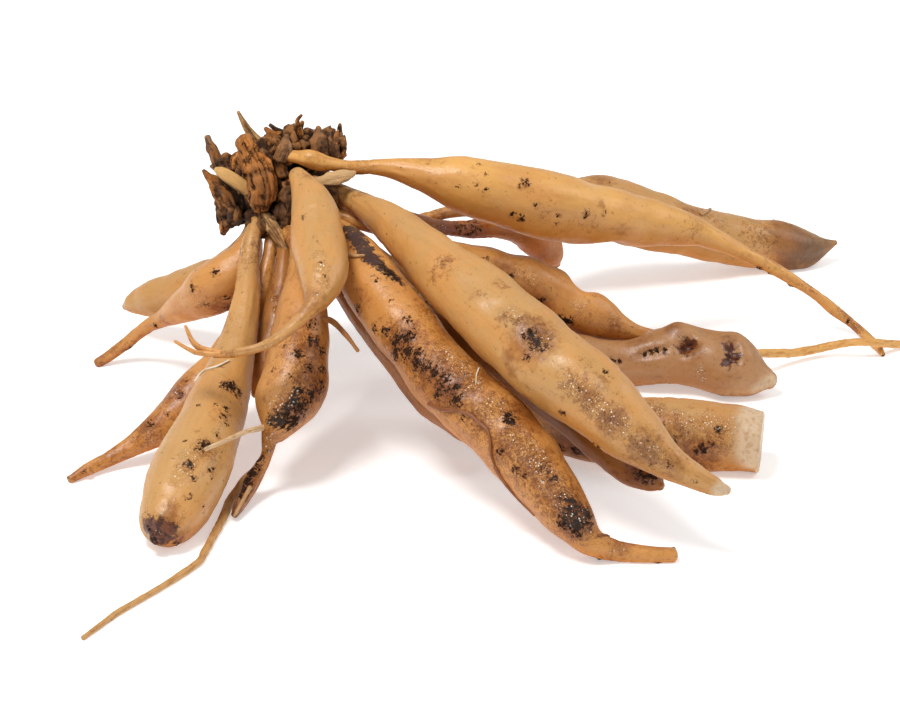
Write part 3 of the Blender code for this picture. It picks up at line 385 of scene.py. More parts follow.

# What the skin carries, placed by pixels of the 900 x 711 picture: (u, v, reach in mm, strength). Each
# mark lies on the root where that pixel shows it. Soil is near black; specks are zones of dots; wet is
# glossy, gritty skin that carries white dots of painted highlight; stains are soft and brown, and in places
# painted shade; smoke is soft and dark; rust is torn red-brown skin; slate is a dark flaking film; pale is
# lighter skin, and in places a painted highlight; flesh is bare. A dent's last number is its depth in mm.
MARKS = {
    "root_main": dict(
        soil=[(530, 333, 1.7, 0.9), (535, 343, 2, 0.85), (542, 346, 1.5, 0.7), (528, 357, 1.3, 0.8),
            (549, 347, 0.9, 0.7), (561, 413, 1.1, 0.75), (596, 446, 1.1, 0.8), (578, 389, 0.8, 0.7),
            (606, 371, 1, 0.6), (651, 466, 1.3, 0.55), (669, 464, 1.1, 0.6), (696, 479, 1.2, 0.5)],
        stain_and_shade=[(532, 340, 6.5, 0.9), (510, 358, 2.6, 0.75), (513, 371, 2, 0.7), (588, 395, 4.5, 0.5),
            (612, 420, 5, 0.6), (645, 449, 5.5, 0.6), (600, 385, 3.5, 0.4), (673, 467, 4.5, 0.6)],
        specks=[(443, 262, 3, 0.9), (432, 275, 3.2, 0.75), (449, 268, 3, 0.6), (501, 284, 2.6, 0.8),
            (479, 293, 2, 0.7), (470, 300, 4, 0.35), (506, 316, 3.5, 0.8), (524, 322, 4, 0.8),
            (540, 330, 4, 0.8), (572, 384, 4.5, 0.8), (590, 402, 4.5, 0.9), (612, 420, 5, 0.9),
            (640, 444, 5.5, 0.8), (665, 460, 5, 0.6), (588, 363, 3, 0.6), (604, 376, 3, 0.6)],
        wet=[(507, 312, 2.2, 0.8), (517, 319, 2, 0.8), (528, 390, 1, 0.6), (570, 384, 2.4, 0.8),
            (580, 391, 2.4, 0.9), (592, 402, 2.6, 1), (606, 414, 2.8, 1), (620, 425, 2.6, 1),
            (640, 445, 2.4, 0.7), (652, 451, 1.8, 0.7), (537, 340, 3, 0.6), (548, 336, 2, 0.6)],
        pale=[(560, 350, 5, 0.25), (455, 235, 5, 0.3)],
        flesh=[(716, 490, 1.8, 0.6), (722, 492, 2.2, 1), (727, 491, 2, 1)],
        dents=[(531, 336, 2, 0.5), (538, 346, 2.4, 0.6), (528, 357, 1.6, 0.5), (523, 376, 1, 0.3),
            (526, 388, 1, 0.4), (529, 400, 1, 0.4), (560, 330, 3, -0.3), (512, 288, 2, -0.35)]),
    "root_upper": dict(
        soil=[(479, 164, 1, 0.65), (484, 173, 0.9, 0.7), (477, 184, 0.8, 0.6), (484, 191, 0.9, 0.7),
            (458, 186, 0.9, 0.55), (525, 181, 1.5, 0.75), (521, 187, 1, 0.6), (537, 204, 0.9, 0.6),
            (513, 215, 1, 0.8), (522, 218, 1.2, 0.85), (557, 215, 0.9, 0.65), (556, 224, 0.8, 0.6),
            (586, 215, 1.3, 0.8), (603, 214, 1, 0.6), (848, 321, 0.8, 0.9), (700, 204, 0.8, 0.5)],
        stain_and_shade=[(600, 205, 1.6, 0.6), (621, 232, 3.5, 0.45), (525, 183, 3, 0.4), (560, 232, 6, 0.35),
            (700, 222, 5, 0.4), (856, 330, 2, 0.8), (745, 252, 4, 0.3), (430, 182, 4, 0.3)],
        specks=[(480, 176, 4, 0.4), (548, 212, 5, 0.5), (590, 222, 6, 0.5), (690, 232, 6, 0.5)],
        pale=[(470, 172, 7, 0.35), (600, 195, 6, 0.3)]),
    "root_back": dict(
        soil=[(716, 232, 1, 0.4), (688, 243, 0.8, 0.35)],
        smoke=[(814, 254, 8, 1), (797, 262, 7, 0.8), (826, 243, 5, 0.8), (802, 238, 6, 0.6),
            (783, 262, 5, 0.4)],
        stain_and_shade=[(790, 240, 7, 1), (780, 225, 4, 0.8), (785, 265, 5, 0.8), (690, 214, 5, 0.5),
            (640, 185, 4, 0.5), (600, 180, 5, 0.6)], specks=[(700, 210, 8, 0.6), (760, 235, 8, 0.6)],
        wet=[(722, 222, 2.5, 0.5)]),
    "root_hanging": dict(
        soil=[(305, 217, 1, 0.8), (313, 236, 0.7, 0.6), (318, 240, 0.6, 0.55), (321, 262, 0.7, 0.6),
            (324, 276, 0.7, 0.6), (190, 347, 1.2, 0.7)], specks=[(318, 245, 3, 0.5), (322, 275, 4, 0.5)],
        stain_and_shade=[(205, 350, 2.5, 0.7), (300, 318, 3, 0.3), (306, 176, 2, 0.5)],
        wet=[(319, 255, 1.6, 0.9), (322, 268, 1.6, 0.9), (323, 282, 1.5, 0.8), (321, 295, 1.5, 0.7)]),
    "root_stub": dict(
        soil=[(470, 230, 3.4, 0.6), (461, 229, 2.6, 0.6), (478, 227, 2.2, 0.5)],
        stain_and_shade=[(450, 225, 5, 0.9), (475, 232, 5, 0.9), (540, 256, 3, 0.5)], wet=[(440, 229, 1.8, 0.7)]),
    "root_front": dict(
        soil=[(357, 310, 1.8, 0.7), (374, 329, 1.6, 0.8), (385, 333, 1.5, 0.8), (396, 340, 2.4, 0.85),
            (406, 337, 2, 0.8), (413, 333, 1.5, 0.7), (396, 353, 2.2, 0.85), (406, 354, 2.4, 0.85),
            (418, 353, 1.8, 0.85), (418, 362, 2, 0.85), (427, 367, 1.8, 0.8), (435, 374, 2.2, 0.75),
            (443, 382, 2.4, 0.75), (440, 394, 2.2, 0.7), (455, 387, 1.7, 0.7), (457, 400, 1.8, 0.95),
            (391, 302, 0.8, 0.6), (377, 281, 1, 0.6), (407, 320, 1.6, 0.6), (414, 325, 1.2, 0.6),
            (507, 416, 1.6, 0.95), (512, 420, 1.5, 0.9), (463, 418, 1, 0.6), (500, 453, 1.3, 0.7),
            (515, 470, 1.3, 0.75), (525, 474, 1, 0.6), (544, 467, 1.5, 0.7), (552, 478, 1.4, 0.65),
            (568, 502, 2.4, 0.8), (574, 509, 2.6, 0.9), (566, 520, 2.2, 0.85), (577, 521, 2.8, 0.9),
            (585, 515, 2.2, 0.85), (586, 523, 1.8, 0.8), (577, 530, 1.8, 0.8), (383, 267, 1.4, 0.7),
            (389, 274, 1.9, 0.85), (396, 279, 1.7, 0.8), (416, 291, 1.1, 0.6), (427, 302, 1.2, 0.7)],
        # Some of these stains, where the main root shades this one, are painted shade.
        stain_and_shade=[(400, 345, 8, 0.6), (442, 382, 7, 0.8), (480, 395, 6, 0.5), (450, 335, 5, 0.7),
            (500, 385, 5, 0.8), (530, 420, 5, 0.8), (576, 515, 7, 0.7), (540, 490, 5, 0.4),
            (356, 240, 4, 0.7), (372, 257, 3.5, 0.7), (361, 300, 4, 0.5)],
        specks=[(400, 335, 8, 0.8), (425, 365, 8, 0.9), (455, 390, 8, 0.9), (480, 420, 8, 0.8),
            (505, 445, 8, 0.9), (530, 470, 8, 0.9), (555, 495, 8, 0.9), (575, 520, 7, 0.9),
            (480, 370, 7, 0.7), (515, 410, 7, 0.8), (430, 312, 5, 0.7), (385, 290, 5, 0.3)],
        wet=[(442, 348, 2.2, 0.8), (450, 358, 2.4, 0.9), (460, 369, 2.6, 1), (472, 383, 2.4, 0.9),
            (492, 405, 2.4, 0.9), (497, 410, 1.8, 1), (514, 434, 2.4, 1), (524, 447, 2.8, 1),
            (538, 464, 2.8, 1), (550, 480, 2.6, 1), (562, 497, 2.4, 0.9), (575, 512, 2.8, 1),
            (588, 532, 1.6, 0.8), (619, 546, 1.6, 0.7)],
        slate=[(349, 228, 2.6, 0.9), (354, 235, 2.6, 0.95), (360, 242, 2.5, 0.95), (366, 249, 2.4, 0.95),
            (372, 256, 2.3, 0.95), (378, 262, 2.2, 0.9), (384, 268, 2, 0.85), (390, 273, 1.8, 0.8),
            (397, 279, 1.6, 0.7), (405, 286, 1.3, 0.6)],
        pale=[(371, 243, 1.4, 0.9), (380, 252, 1.5, 1), (389, 262, 1.5, 1), (398, 272, 1.3, 0.9),
            (640, 549, 5, 0.4), (425, 345, 3, 0.3)],
        dents=[(432, 303, 1.2, 0.3), (550, 425, 2, 0.3), (592, 533, 2, 0.4)]),
    "root_wavy": dict(
        soil=[(567, 319, 1.6, 1), (561, 318, 1.3, 0.95), (540, 300, 1.2, 0.7), (510, 275, 1.2, 0.6),
            (596, 340, 1.2, 0.5), (620, 330, 1.2, 0.5), (486, 262, 1.5, 0.6)],
        stain_and_shade=[(505, 268, 5, 0.6), (540, 305, 4, 0.7), (615, 325, 4, 0.6), (575, 345, 4, 0.5)],
        specks=[(530, 285, 7, 0.5), (585, 320, 6, 0.5)],
        wet=[(523, 271, 2.2, 0.6), (533, 278, 2, 0.6), (580, 305, 2.2, 0.5), (612, 321, 1.6, 0.6)],
        pale=[(525, 273, 3.5, 0.5), (582, 306, 3.5, 0.5)]),
    "root_split": dict(
        soil=[(646, 354, 0.9, 0.9), (652, 352, 1, 1), (658, 350, 1, 1), (612, 359, 0.9, 0.9),
            (620, 361, 0.9, 0.9), (665, 349, 0.8, 0.9)],
        rust=[(690, 341, 1.8, 1), (684, 348, 1.6, 0.9), (731, 345, 1.6, 0.9), (733, 355, 1.8, 1),
            (728, 362, 1.4, 0.9), (664, 352, 1.2, 0.6)],
        stain_and_shade=[(672, 330, 3.5, 0.6), (640, 345, 6, 0.5), (690, 350, 4, 0.6), (725, 338, 4, 0.5),
            (735, 372, 4, 0.4), (655, 378, 5, 0.3)],
        wet=[(680, 336, 1.2, 0.8), (700, 369, 1.2, 0.8), (705, 376, 1, 0.8), (668, 344, 1.2, 0.6)],
        pale=[(740, 388, 4, 0.6), (700, 395, 5, 0.3)],
        flesh=[(757, 387, 2.4, 0.55), (764, 384, 2.4, 0.7), (771, 380, 2.2, 0.8)],
        dents=[(646, 354, 1.2, 0.8), (655, 352, 1.3, 0.9), (664, 350, 1.2, 0.8), (612, 359, 1.2, 0.6),
            (621, 361, 1.2, 0.6), (690, 341, 2, 2.2), (683, 349, 1.6, 1.5), (732, 346, 1.7, 2),
            (732, 358, 1.8, 2.2), (712, 334, 2.5, 0.5), (674, 328, 2.5, -0.6), (760, 382, 3.5, -0.5)]),
    "root_cut": dict(
        soil=[(659, 428, 1.2, 1), (719, 431, 1, 0.95), (702, 449, 1.3, 0.9), (698, 452, 1.2, 0.8),
            (712, 444, 1.2, 0.7), (674, 441, 1.4, 0.8), (690, 464, 2, 0.6), (680, 460, 1.8, 0.6),
            (585, 450, 2.4, 0.9), (575, 449, 1.8, 0.8), (560, 447, 1.4, 0.9)],
        stain_and_shade=[(690, 458, 7, 0.7), (660, 432, 4, 0.5), (705, 450, 4, 0.6), (575, 440, 8, 0.9)],
        specks=[(660, 420, 5, 0.7), (680, 440, 7, 0.8), (710, 445, 7, 0.8), (700, 460, 7, 0.8),
            (575, 440, 8, 0.9), (655, 408, 4, 0.6)],
        wet=[(652, 407, 1.8, 0.9), (660, 411, 1.8, 0.9), (676, 417, 2, 0.9), (690, 421, 2, 1),
            (704, 421, 2, 1), (718, 423, 2, 1), (730, 424, 2, 0.9), (684, 426, 1.6, 0.8)],
        flesh=[(753, 411, 3.6, 1), (753, 421, 4, 1), (753, 431, 4.2, 1), (753, 441, 4.2, 1),
            (753, 451, 4, 1), (753, 461, 3.6, 1)]),
    "root_blunt": dict(
        soil=[(644, 476, 1.9, 0.9), (652, 479, 1.6, 0.9), (636, 470, 1.2, 0.6)], stain_and_shade=[(640, 474, 4, 0.8)],
        specks=[(620, 470, 6, 0.5)]),
    "root_big_left": dict(
        soil=[(225, 386, 1.5, 0.9), (231, 387, 1.7, 1), (237, 393, 1.5, 0.95), (227, 409, 1.1, 0.8),
            (223, 418, 1.2, 0.8), (226, 424, 0.8, 0.7), (217, 436, 1.1, 0.7), (209, 444, 1.2, 0.7),
            (203, 445, 1.5, 0.95), (199, 449, 1.1, 0.8), (190, 465, 1.3, 0.95), (194, 478, 0.9, 0.7),
            (192, 494, 0.8, 0.7), (187, 498, 0.7, 0.65), (211, 470, 1.1, 0.65), (213, 477, 0.7, 0.6),
            (205, 505, 0.7, 0.7), (184, 442, 0.6, 0.55), (179, 457, 0.7, 0.6), (199, 406, 0.7, 0.6),
            (207, 407, 0.6, 0.55), (214, 406, 0.7, 0.6), (178, 467, 0.6, 0.6), (147, 528, 0.9, 0.8),
            (153, 540, 1.3, 0.8)],
        stain_and_shade=[(171, 515, 2.4, 0.8), (172, 505, 2, 0.7), (168, 524, 3, 0.9), (230, 388, 4, 0.5),
            (205, 447, 4, 0.5), (190, 466, 3, 0.4), (180, 538, 3, 0.7), (222, 420, 4, 0.35)],
        rust=[(150, 528, 2.2, 1), (157, 530, 2.6, 1), (166, 532, 2.2, 1), (172, 537, 1.6, 0.8),
            (155, 539, 2.2, 1), (165, 541, 2, 0.9), (180, 541, 1.3, 0.6)],
        specks=[(210, 450, 5, 0.7), (190, 470, 4, 0.5), (210, 472, 3, 0.6), (225, 415, 3.5, 0.6),
            (170, 512, 4, 0.5), (205, 505, 2.5, 0.5)],
        wet=[(187, 457, 2, 0.8), (192, 460, 1.6, 0.8), (182, 473, 2.4, 0.9), (177, 480, 2, 0.8),
            (187, 478, 1.6, 0.7), (184, 512, 1, 0.6), (157, 530, 1.6, 0.6)],
        pale=[(180, 430, 7, 0.4), (165, 480, 7, 0.4), (240, 300, 5, 0.3)],
        dents=[(150, 528, 1.6, 0.4), (160, 532, 1.8, 0.4), (203, 446, 1.2, 0.25)]),
    "root_muddy": dict(
        soil=[(313, 341, 2.2, 0.75), (299, 354, 1.5, 0.8), (309, 368, 1.6, 0.75), (320, 370, 1.6, 0.7),
            (322, 352, 1.8, 0.7), (298, 391, 1.5, 1), (293, 401, 1.9, 1), (288, 411, 1.9, 1),
            (276, 419, 2, 1), (284, 424, 2.2, 1), (293, 421, 2.2, 0.9), (302, 408, 2.2, 0.8),
            (311, 396, 2.2, 0.8), (318, 388, 2, 0.7), (272, 423, 1.5, 0.9), (274, 368, 1, 0.55),
            (284, 345, 1.2, 0.5), (290, 375, 1, 0.6), (262, 456, 1, 0.7), (258, 464, 1.4, 0.8),
            (252, 472, 1.7, 1), (247, 481, 1.8, 1), (243, 490, 1.3, 0.9), (241, 499, 1.1, 0.8),
            (270, 451, 1, 0.7), (312, 325, 2, 0.6), (290, 330, 1.5, 0.4)],
        stain_and_shade=[(316, 350, 6, 0.5), (316, 385, 6, 0.55), (298, 412, 5, 0.6), (275, 440, 4, 0.5),
            (250, 478, 5, 0.8), (300, 320, 6, 0.5), (262, 455, 4, 0.5)],
        specks=[(304, 350, 7, 0.7), (312, 385, 7, 0.8), (298, 410, 5, 0.8), (280, 370, 5, 0.4)],
        wet=[(290, 396, 1.8, 1), (285, 401, 2, 1), (277, 408, 2.2, 1), (274, 418, 1.8, 1),
            (280, 404, 2, 1), (270, 434, 1.5, 0.7), (268, 446, 1.2, 0.9), (316, 345, 2, 0.5)],
        pale=[(270, 385, 4, 0.5), (270, 400, 3, 0.4)]),
    "root_tailed": dict(
        soil=[(216, 272, 1.3, 0.7), (192, 289, 1.3, 0.65), (230, 308, 1.6, 0.8), (222, 316, 1.6, 0.75),
            (227, 298, 1.5, 0.7), (236, 300, 1.5, 0.8), (155, 326, 1, 0.7), (206, 304, 1, 0.5)],
        stain_and_shade=[(225, 310, 5, 0.6), (165, 322, 3, 0.5), (195, 290, 5, 0.3)],
        specks=[(222, 305, 5, 0.7), (200, 300, 5, 0.5)]),
    "root_low": dict(
        soil=[(149, 423, 1.2, 0.75), (180, 395, 1.2, 0.6), (166, 415, 1, 0.5), (85, 472, 0.9, 0.5),
            (187, 380, 1.5, 0.5)],
        stain_and_shade=[(175, 390, 7, 0.6), (150, 425, 6, 0.5), (110, 455, 6, 0.4), (80, 470, 3, 0.5)],
        specks=[(175, 395, 8, 0.7), (145, 430, 8, 0.7), (115, 455, 7, 0.5)],
        wet=[(175, 392, 2, 0.6), (160, 405, 2, 0.5), (150, 437, 1.8, 0.5)]),
    "root_inner": dict(
        stain_and_shade=[(285, 300, 4, 0.6), (275, 330, 4, 0.5)], specks=[(285, 290, 6, 0.6)],
        wet=[(274, 298, 1.2, 0.8), (275, 308, 1, 0.8)]),
}

# Loose fibres and threads that lie on a root: its name, their colour, radius and lift in mm, and the
# pixels that they pass.
THREADS = [
    ("root_front", FIBRE, 0.45, 0.1, [(429, 404), (442, 409), (456, 412), (470, 416), (480, 422),
        (487, 430), (490, 441), (491, 452), (492, 460), (496, 470)]),
    ("root_front", FIBRE, 0.55, 0, [(494, 467), (504, 482), (516, 500), (526, 513), (528, 521)]),
    ("root_front", WHITE, 0.2, 0.1, [(478, 368), (477, 375), (475, 383)]),
    ("root_front", FIBRE, 0.3, 0.1, [(599, 536), (604, 535), (608, 534), (611, 531)]),
    ("root_front", STRAW, 0.55, 0.1, [(347, 254), (355, 256), (363, 257)]),
    ("root_big_left", WHITE, 0.35, 0.1, [(181, 374), (183, 371), (195, 370), (206, 370), (218, 367),
        (229, 361)]),
    ("root_back", STRAW, 0.55, 0.1, [(701, 215), (705, 212), (711, 207)]),
    ("root_upper", BARK, 0.3, 0.1, [(346, 176), (353, 180), (360, 184), (363, 191)]),
    ("root_muddy", STRAW, 0.5, 0.1, [(250, 488), (246, 495), (241, 505), (236, 514), (232, 520)]),
    ("root_low", TAN, 0.55, 0.3, [(86, 471), (91, 473), (94, 476), (95, 480)]),
    ("root_hanging", TAN, 0.3, 0.2, [(196, 347), (197, 341), (195, 334)]),
]

# Marks strewn over the parts of a root that the picture doesn't show: their kind, one to so many
# millimetres of root, then the least and the most reach and strength.
STREWN = [("soil", 9.0, (0.8, 1.5), (0.6, 0.9)), ("stain_and_shade", 14.0, (2.5, 6.0), (0.4, 0.8)),
          ("specks", 8.0, (3.0, 6.0), (0.5, 0.9)), ("wet", 12.0, (1.2, 2.4), (0.6, 0.9))]
MARK_KINDS = ("soil", "stain_and_shade", "specks", "wet", "rust", "slate", "pale", "flesh", "smoke")
# How much a spot prefers the nearer of two surfaces, in pixels to a millimetre.
NEARER_WINS = 0.02
# The way that a thread is lifted off its root: forward and up.
THREAD_OUTWARD = (0.0, -0.5, 0.5)
THREAD_TAPER = 0.6


def to_metres(points):
    return (np.asarray(points, dtype=float) + np.array(CROWN_AT)) * MM


def unit(rows):
    return rows / np.maximum(np.linalg.norm(rows, axis=-1, keepdims=True), 1e-9)


def smoothstep(low, high, value):
    t = np.clip((value - low) / (high - low), 0.0, 1.0)
    return t * t * (3.0 - 2.0 * t)


def cell_values(cells, seed):
    """A repeatable number from -1 to 1 for each whole-numbered cell."""
    mixed = (cells[..., 0] * 374761393 + cells[..., 1] * 668265263 + cells[..., 2] * 1440662683
             + seed * 1274126177) & 0xFFFFFFFF
    mixed = ((mixed ^ (mixed >> 13)) * 1274126177) & 0xFFFFFFFF
    return (mixed ^ (mixed >> 16)) / 2.0 ** 31 - 1.0


def rough(points, size, seed=0):
    """Smooth noise from -1 to 1 with lumps about `size` across."""
    scaled = np.asarray(points) / size + 100.0
    cells = np.floor(scaled).astype(np.int64)
    t = scaled - cells
    t = t * t * t * (t * (t * 6.0 - 15.0) + 10.0)
    total = 0.0
    for corner in np.ndindex(2, 2, 2):
        weight = np.prod(np.where(corner, t, 1.0 - t), axis=-1)
        total = total + weight * cell_values(cells + np.array(corner), seed)
    return total


def smooth_path(stations, step):
    """The smooth curve through the stations, as rows (x, y, z, radius) a step apart."""
    knots = np.array(stations, dtype=float)
    knots = np.vstack([2 * knots[0] - knots[1], knots, 2 * knots[-1] - knots[-2]])
    dense = []
    for before, start, stop, after in zip(knots, knots[1:], knots[2:], knots[3:]):
        for t in np.linspace(0.0, 1.0, SPAN_SAMPLES, endpoint=False):
            bend = (2 * before - 5 * start + 4 * stop - after) * t ** 2
            swing = (3 * start - before - 3 * stop + after) * t ** 3
            dense.append(0.5 * (2 * start + (stop - before) * t + bend + swing))
    dense.append(knots[-2])
    dense = np.array(dense)
    spans = np.linalg.norm(np.diff(dense[:, :3], axis=0), axis=1)
    reached = np.concatenate([[0.0], np.cumsum(spans)])
    rings = max(4, round(reached[-1] / step) + 1)
    places = np.linspace(0.0, reached[-1], rings)
    return np.column_stack([np.interp(places, reached, dense[:, k]) for k in range(4)])


def capped(path, flat_end):
    """The path with the rings that close its far end added, the last of them a point."""
    end, radius = path[-1, :3], path[-1, 3]
    ahead = unit(end - path[-3, :3])
    rows = []
    for k in range(1, CAP_RINGS + 1):
        inward = k / CAP_RINGS
        if flat_end:
            reach, width = CUT_BULGE * math.sin(math.pi * inward ** 0.45), 1.0 - inward ** 1.7
        else:
            turn = math.pi / 2 * inward
            reach, width = radius * TIP_LENGTH * math.sin(turn), math.cos(turn)
        rows.append([*end + ahead * reach, radius * width])
    return np.vstack([path, rows])


def form_swell(points, spec):
    """How far the form stands out or in, as a part of the radius and in millimetres."""
    shift = Vector((spec["seed"] * SEED_SHIFT, 0.0, 0.0))
    flat = points.reshape(-1, 3)
    rise = np.array([noise.noise(Vector(point) / LUMP_SIZE + shift) for point in flat])
    rise = rise.reshape(points.shape[:-1]) * spec["lumps"] * 2.0
    bump = np.zeros(points.shape[:-1])
    for x, y, z, reach, height in spec.get("bumps", []):
        away = np.linalg.norm(points - np.array((x, y, z)), axis=-1)
        bump += height * np.exp(-(away / reach) ** 2)
    return rise, bump


def stay_clear(points, firm_paths):
    """Dents the surface wherever it comes nearer than GAP to a root that was made before."""
    flat = points.reshape(-1, 3)
    for path in firm_paths:
        starts = path[:-1, :3]
        runs = path[1:, :3] - starts
        apart = np.min(np.linalg.norm(flat[::7, None] - path[None, ::3, :3], axis=2))
        if apart >= path[:, 3].max() + NEIGHBOUR_REACH:
            continue
        worst = np.zeros(len(flat))
        moved = flat.copy()
        for start, run, first, last in zip(starts, runs, path[:-1, 3], path[1:, 3]):
            t = np.clip((flat - start) @ run / (run @ run), 0.0, 1.0)
            nearest = start + run * t[:, None]
            reach = first + (last - first) * t + GAP
            away = flat - nearest
            length = np.linalg.norm(away, axis=1)
            depth = reach - length
            deeper = depth > worst
            worst[deeper] = depth[deeper]
            moved[deeper] = (nearest + away / np.maximum(length, 1e-6)[:, None] * reach[:, None])[deeper]
        flat[:] = moved
    return flat.reshape(points.shape)


def skin_detail(straight, radius, layers, spec):
    """Fine relief of the skin in millimetres: creases, ridges along it, crumbs of soil, torn skin."""
    seed = spec["seed"]
    belly = smoothstep(2.0, 5.0, radius)[:, None]
    creases = rough(straight / np.array(CREASE_SIZE), 1.0, seed)
    where = smoothstep(0.15, 0.7, rough(straight, 7.0, seed + 1))
    crease = -CREASE_DEPTH * (1.0 - smoothstep(0.0, 0.2, np.abs(creases))) * where
    ridges = rough(straight / np.array(RIDGE_SIZE), 1.0, seed + 2)
    ridge = ridges * (RIDGE_HEIGHT + THIN_RIDGE_HEIGHT * radius[:, None] * (1.0 - belly))
    waves = WAVE_HEIGHT * belly * rough(straight, 5.0, seed + 3)
    waves = waves + RIPPLE_HEIGHT * rough(straight, 1.9, seed + 4)
    crumbs = 0.5 + 0.5 * rough(straight, 1.2, seed + 5)
    clumps = CLUMP_HEIGHT * smoothstep(0.35, 0.8, layers["soil"] + 0.3 * (crumbs - 0.5)) * crumbs
    grit = GRIT_HEIGHT * layers["wet"] * rough(straight, 1.3, seed + 6)
    torn = -TEAR_DEPTH * layers["rust"] * crumbs
    return crease + ridge + waves + clumps + grit + torn


def camera_axes():
    tilt = math.radians(CAMERA_TILT)
    forward = np.array((0.0, math.cos(tilt), -math.sin(tilt)))
    upward = np.array((0.0, math.sin(tilt), math.cos(tilt)))
    return forward, upward


def seen_at(places):
    """Where the picture shows the places, as (u, v) in its pixels, and how far off they are."""
    forward, upward = camera_axes()
    off = places - (np.array(CAMERA_TARGET) - forward * CAMERA_DISTANCE)
    depth = off @ forward
    scale = CAMERA_LENS / CAMERA_SENSOR * PICTURE_WIDTH / depth
    return PICTURE_WIDTH / 2 + off[..., 0] * scale, PICTURE_HEIGHT / 2 - (off @ upward) * scale, depth


def facing_camera(out):
    forward, _ = camera_axes()
    return out @ forward < 0.0


def pinned(points, out, spots):
    """The surface points that the picture shows nearest to the spots, given by their pixels."""
    front = facing_camera(out).ravel()
    places = points.reshape(-1, 3)[front]
    u, v, depth = seen_at(places)
    behind = NEARER_WINS * (depth - depth.min())
    return [places[np.argmin(np.hypot(u - spot[0], v - spot[1]) + behind)] for spot in spots]


def mark_layers(name, points, out):
    """For each kind of mark, its strength over the root's surface."""
    layers = {}
    table = MARKS.get(name, {})
    draw = random.Random(name)
    hidden = points.reshape(-1, 3)[~facing_camera(out).ravel()]
    length = np.linalg.norm(np.diff(points.mean(axis=1), axis=0), axis=1).sum()
    strewn = {kind: (round(length / spacing), reaches, powers) for kind, spacing, reaches, powers in STREWN}
    for kind in MARK_KINDS:
        spots = table.get(kind, [])
        marks = [(place, spot[2], spot[3]) for place, spot in zip(pinned(points, out, spots), spots)]
        count, reaches, powers = strewn.get(kind, (0, None, None))
        for _ in range(count):
            marks.append((draw.choice(hidden), draw.uniform(*reaches), draw.uniform(*powers)))
        layer = np.zeros(points.shape[:2])
        for place, reach, power in marks:
            away = np.linalg.norm(points - place, axis=-1)
            layer = np.maximum(layer, power * np.exp(-(away / reach) ** 2))
        layers[kind] = layer
    return layers


def directions(centres):
    """The way the line through the ring centres runs at each of them."""
    along = np.gradient(centres, axis=0)
    along[-CAP_RINGS:] = along[-CAP_RINGS - 2]
    return unit(along)


def run_along(centres):
    """How far each ring centre lies along the line from the first."""
    return np.concatenate([[0.0], np.cumsum(np.linalg.norm(np.diff(centres, axis=0), axis=1))])


def root_mesh(name, spec, sides, step, firm_paths=(), rootlet=False):
    """A root or a rootlet as an object, with its surface points and the ways that they face."""
    path = capped(smooth_path(spec["path"], step), spec.get("flat_end", False))
    centres, radius = path[:, :3], path[:, 3]
    along = directions(centres)
    side = unit(np.cross(along, (0.0, 0.0, 1.0)))
    over = np.cross(side, along)
    angles = (np.arange(sides) + 0.5) * 2 * math.pi / sides
    out = np.cos(angles)[None, :, None] * over[:, None] + np.sin(angles)[None, :, None] * side[:, None]
    points = centres[:, None] + radius[:, None, None] * out
    shape = points.shape[:2]
    straight = np.stack([np.broadcast_to(run_along(centres)[:, None], shape),
                         radius[:, None] * np.cos(angles), radius[:, None] * np.sin(angles)], axis=2)
    layers = {}
    if rootlet:
        lift = rough(straight, 1.2, 5) * ROOTLET_ROUGHNESS * radius[:, None]
    else:
        rise, bump = form_swell(points, spec)
        fade = smoothstep(0.0, 1.2, radius)[:, None]
        layers = mark_layers(name, points, out)
        lift = radius[:, None] * rise + (bump + skin_detail(straight, radius, layers, spec)) * fade
        dents = MARKS.get(name, {}).get("dents", [])
        for place, (_, _, reach, depth) in zip(pinned(points, out, dents), dents):
            away = np.linalg.norm(points - place, axis=-1)
            lift -= depth * np.exp(-(away / reach) ** 2)
    points = points + lift[..., None] * out
    if len(firm_paths):
        points = stay_clear(points, firm_paths)
    points[..., 2] = np.maximum(points[..., 2], 0.0)
    piece = mesh_object(name if rootlet else f"{name}_skin", closed_points(points), tube_faces(*shape))
    piece.data.shade_smooth()
    add_vector(piece, "straight", closed_rows(straight))
    # How far the surface faces down, which the skin material paints darker as shade.
    layers["under"] = smoothstep(0.35, -0.75, out[..., 2])
    layers["thin"] = np.broadcast_to(1.0 - smoothstep(1.4, 3.6, radius)[:, None], shape)
    layers["face"] = np.zeros(shape)
    if spec.get("flat_end"):
        layers["face"][-CAP_RINGS - 1:] = 1.0
    for kind, layer in layers.items():
        add_number(piece, kind, closed_rows(layer))
    return piece, points, out


def closed_rows(grid):
    """One row for each point of a tube, whose last ring is a single point."""
    if grid.ndim == 2:
        return np.append(grid[:-1].ravel(), grid[-1, 0])
    return np.vstack([grid[:-1].reshape(-1, 3), grid[-1, :1]])


def closed_points(points):
    """The points of a tube, with its last ring drawn together to one point."""
    return np.vstack([points[:-1].reshape(-1, 3), points[-1].mean(axis=0)[None]])


def tube_faces(rings, sides):
    """Faces of a tube of rings, the last of which is one point."""
    faces = [tuple(range(sides))[::-1]]
    for i in range(rings - 2):
        for j in range(sides):
            k = (j + 1) % sides
            faces.append((i * sides + j, i * sides + k, (i + 1) * sides + k, (i + 1) * sides + j))
    last = (rings - 2) * sides
    faces += [(last + j, last + (j + 1) % sides, last + sides) for j in range(sides)]
    return faces


def add_vector(piece, name, rows):
    layer = piece.data.attributes.new(name, "FLOAT_VECTOR", "POINT")
    layer.data.foreach_set("vector", np.ascontiguousarray(rows, dtype=np.float32).ravel())


def add_number(piece, name, values):
    layer = piece.data.attributes.new(name, "FLOAT", "POINT")
    layer.data.foreach_set("value", np.ascontiguousarray(values, dtype=np.float32).ravel())


